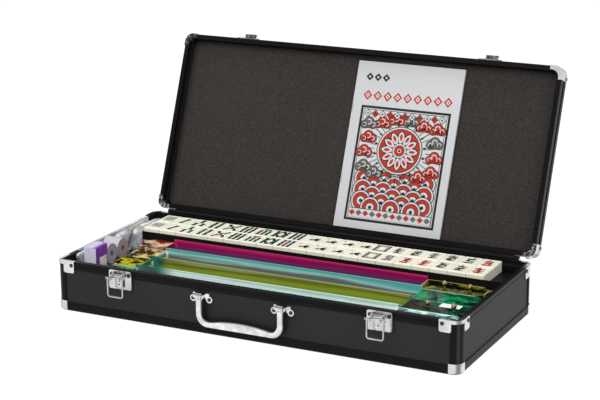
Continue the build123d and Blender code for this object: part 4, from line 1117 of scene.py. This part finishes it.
print_mesh = scatter("booklet_print", cover_spots, PRINTS, paint_finish("printing ink", 0.4))
piece("booklet_print", print_mesh, None, "booklet", swung=True)
print("cover shapes:", len(cover_spots))

# %% [markdown]
# ## Labels
# A blank white sticker is left on the end box of one rack. It could be a patch in the rack's finish,
# but as a thin plate of its own it has clean edges, and it can be left off.

# %% Sticker
STICKER_AT, STICKER_SIZE = Vector((0.2155, -0.04435)), (24 * MM, 11.7 * MM)
END_HEIGHT, PAPER, PRESSED = 47 * MM, 0.12 * MM, 0.05 * MM
sticker = bmesh.new()
end_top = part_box("rack_3")[0].z + END_HEIGHT
corners = [Vector(corner) + STICKER_AT for corner in box_outline(STICKER_SIZE[0] / 2, STICKER_SIZE[1] / 2)]
prism(sticker, corners, end_top - PRESSED, end_top + PAPER)
sticker_finish = Finish("sticker paper", (0.86, 0.86, 0.84), 0.4)
sticker_finish.set("Roughness", 0.35 + sticker_finish.noise(200, 2) * 0.2)
piece("rack_sticker", sticker, sticker_finish.material, "rack_3")
print("sticker", [round(size / MM, 1) for size in STICKER_SIZE], "mm")

# %% [markdown]
# ## The stage
# A white floor and a white world give a clean catalogue background. Where the camera looks straight
# at them they glow plain white; for all other light they are an ordinary pale room, so that the
# case still throws a soft shadow and the metal has something to mirror.


# %% Floor and world
def straight_rays(net):
    """1 for rays that look straight at a thing, mirror it or look at it through something clear."""
    seen, mirrored, through = [net.node("ShaderNodeLightPath", output=way)
                               for way in ("Is Camera Ray", "Is Glossy Ray", "Is Transmission Ray")]
    return seen + mirrored + through


def floor_finish():
    """White card that glows where it is looked at."""
    finish = Finish("white floor", (0.85, 0.85, 0.85), 0.7)
    glow = finish.node("ShaderNodeEmission", inputs={"Color": (1, 1, 1, 1), "Strength": 1.1})
    surface = Wire(finish, finish.shader.outputs[0])
    blend = finish.node("ShaderNodeMixShader", inputs={0: straight_rays(finish) * 0.86, 1: surface, 2: glow})
    finish.plug(finish.tree.nodes["Material Output"].inputs["Surface"], blend)
    return finish.material


def stage_plane(name, corners, place, material):
    """A flat four-cornered piece of the stage."""
    mesh = bpy.data.meshes.new(name)
    mesh.from_pydata(corners, [], [(0, 1, 2, 3)])
    mesh.transform(place)
    mesh.materials.append(material)
    plane = show(name, mesh)
    return plane


REACH, UNDER = 12, -0.3 * MM
floor_corners = [(x, y, 0) for x, y in box_outline(REACH, REACH)]
stage_plane("floor", floor_corners, Matrix.Translation((0, 0, UNDER)), floor_finish())

world = bpy.data.worlds.new("studio")
bpy.context.scene.world = world
world.use_nodes = True
sky = Net(world.node_tree)
background = sky.tree.nodes["Background"]
background.inputs["Color"].default_value = (1, 1, 1, 1)
sky.plug(background.inputs["Strength"], straight_rays(sky) * 0.55 + 0.45)
print("floor and world set")


# %% Lamps
def lamp(name, at, aim, size, watts):
    """A square soft light that points at aim. Metal mirrors the white room, not the lamp itself."""
    light = bpy.data.lights.new(name, "AREA")
    light.shape = "SQUARE"
    light.size = size
    light.energy = watts
    made = show(name, light)
    made.visible_glossy = False
    made.location = at
    made.rotation_euler = (Vector(aim) - Vector(at)).to_track_quat("-Z", "Y").to_euler()


lamp("key", (-1.1, -1.7, 1.9), (0, 0, 0.05), 1.2, 42)
lamp("fill", (2.0, -1.2, 1.3), (0, 0, 0.05), 1.4, 19)
lamp("top", (0.1, 0.3, 2.2), (0, 0, 0), 1.5, 20)
print("lamps:", [light.name for light in bpy.data.lights])

# %% [markdown]
# Polished metal in an all-white room looks like flat white paint. In a studio, black cards stand
# round the object, out of the picture, so that the metal has something dark to mirror. These cards
# do the same: only mirror rays can see them.


# %% Black cards
def black_card(name, at, width, height):
    """An upright black card that faces the case and shows only in reflections."""
    half = width / 2
    facing = Vector((-at[0], -at[1], 0)).to_track_quat("Y", "Z").to_matrix().to_4x4()
    corners = [(-half, 0, 0), (half, 0, 0), (half, 0, height), (-half, 0, height)]
    card = stage_plane(name, corners, Matrix.Translation(at) @ facing, CARD_BLACK)
    for ray in ("camera", "diffuse", "transmission", "volume_scatter", "shadow"):
        setattr(card, "visible_" + ray, False)


CARD_BLACK = Finish("black card", (0.01, 0.01, 0.01), 0.9, Specular_IOR_Level=0.0).material
black_card("card_left", (-1.5, -1.2, 0), 0.9, 1.6)
black_card("card_right", (1.9, -0.5, 0), 0.8, 1.6)
black_card("card_front", (0.2, -1.9, 0.75), 1.8, 0.5)
black_card("card_back", (-0.6, 1.9, 0.2), 1.6, 0.8)
print("black cards set")
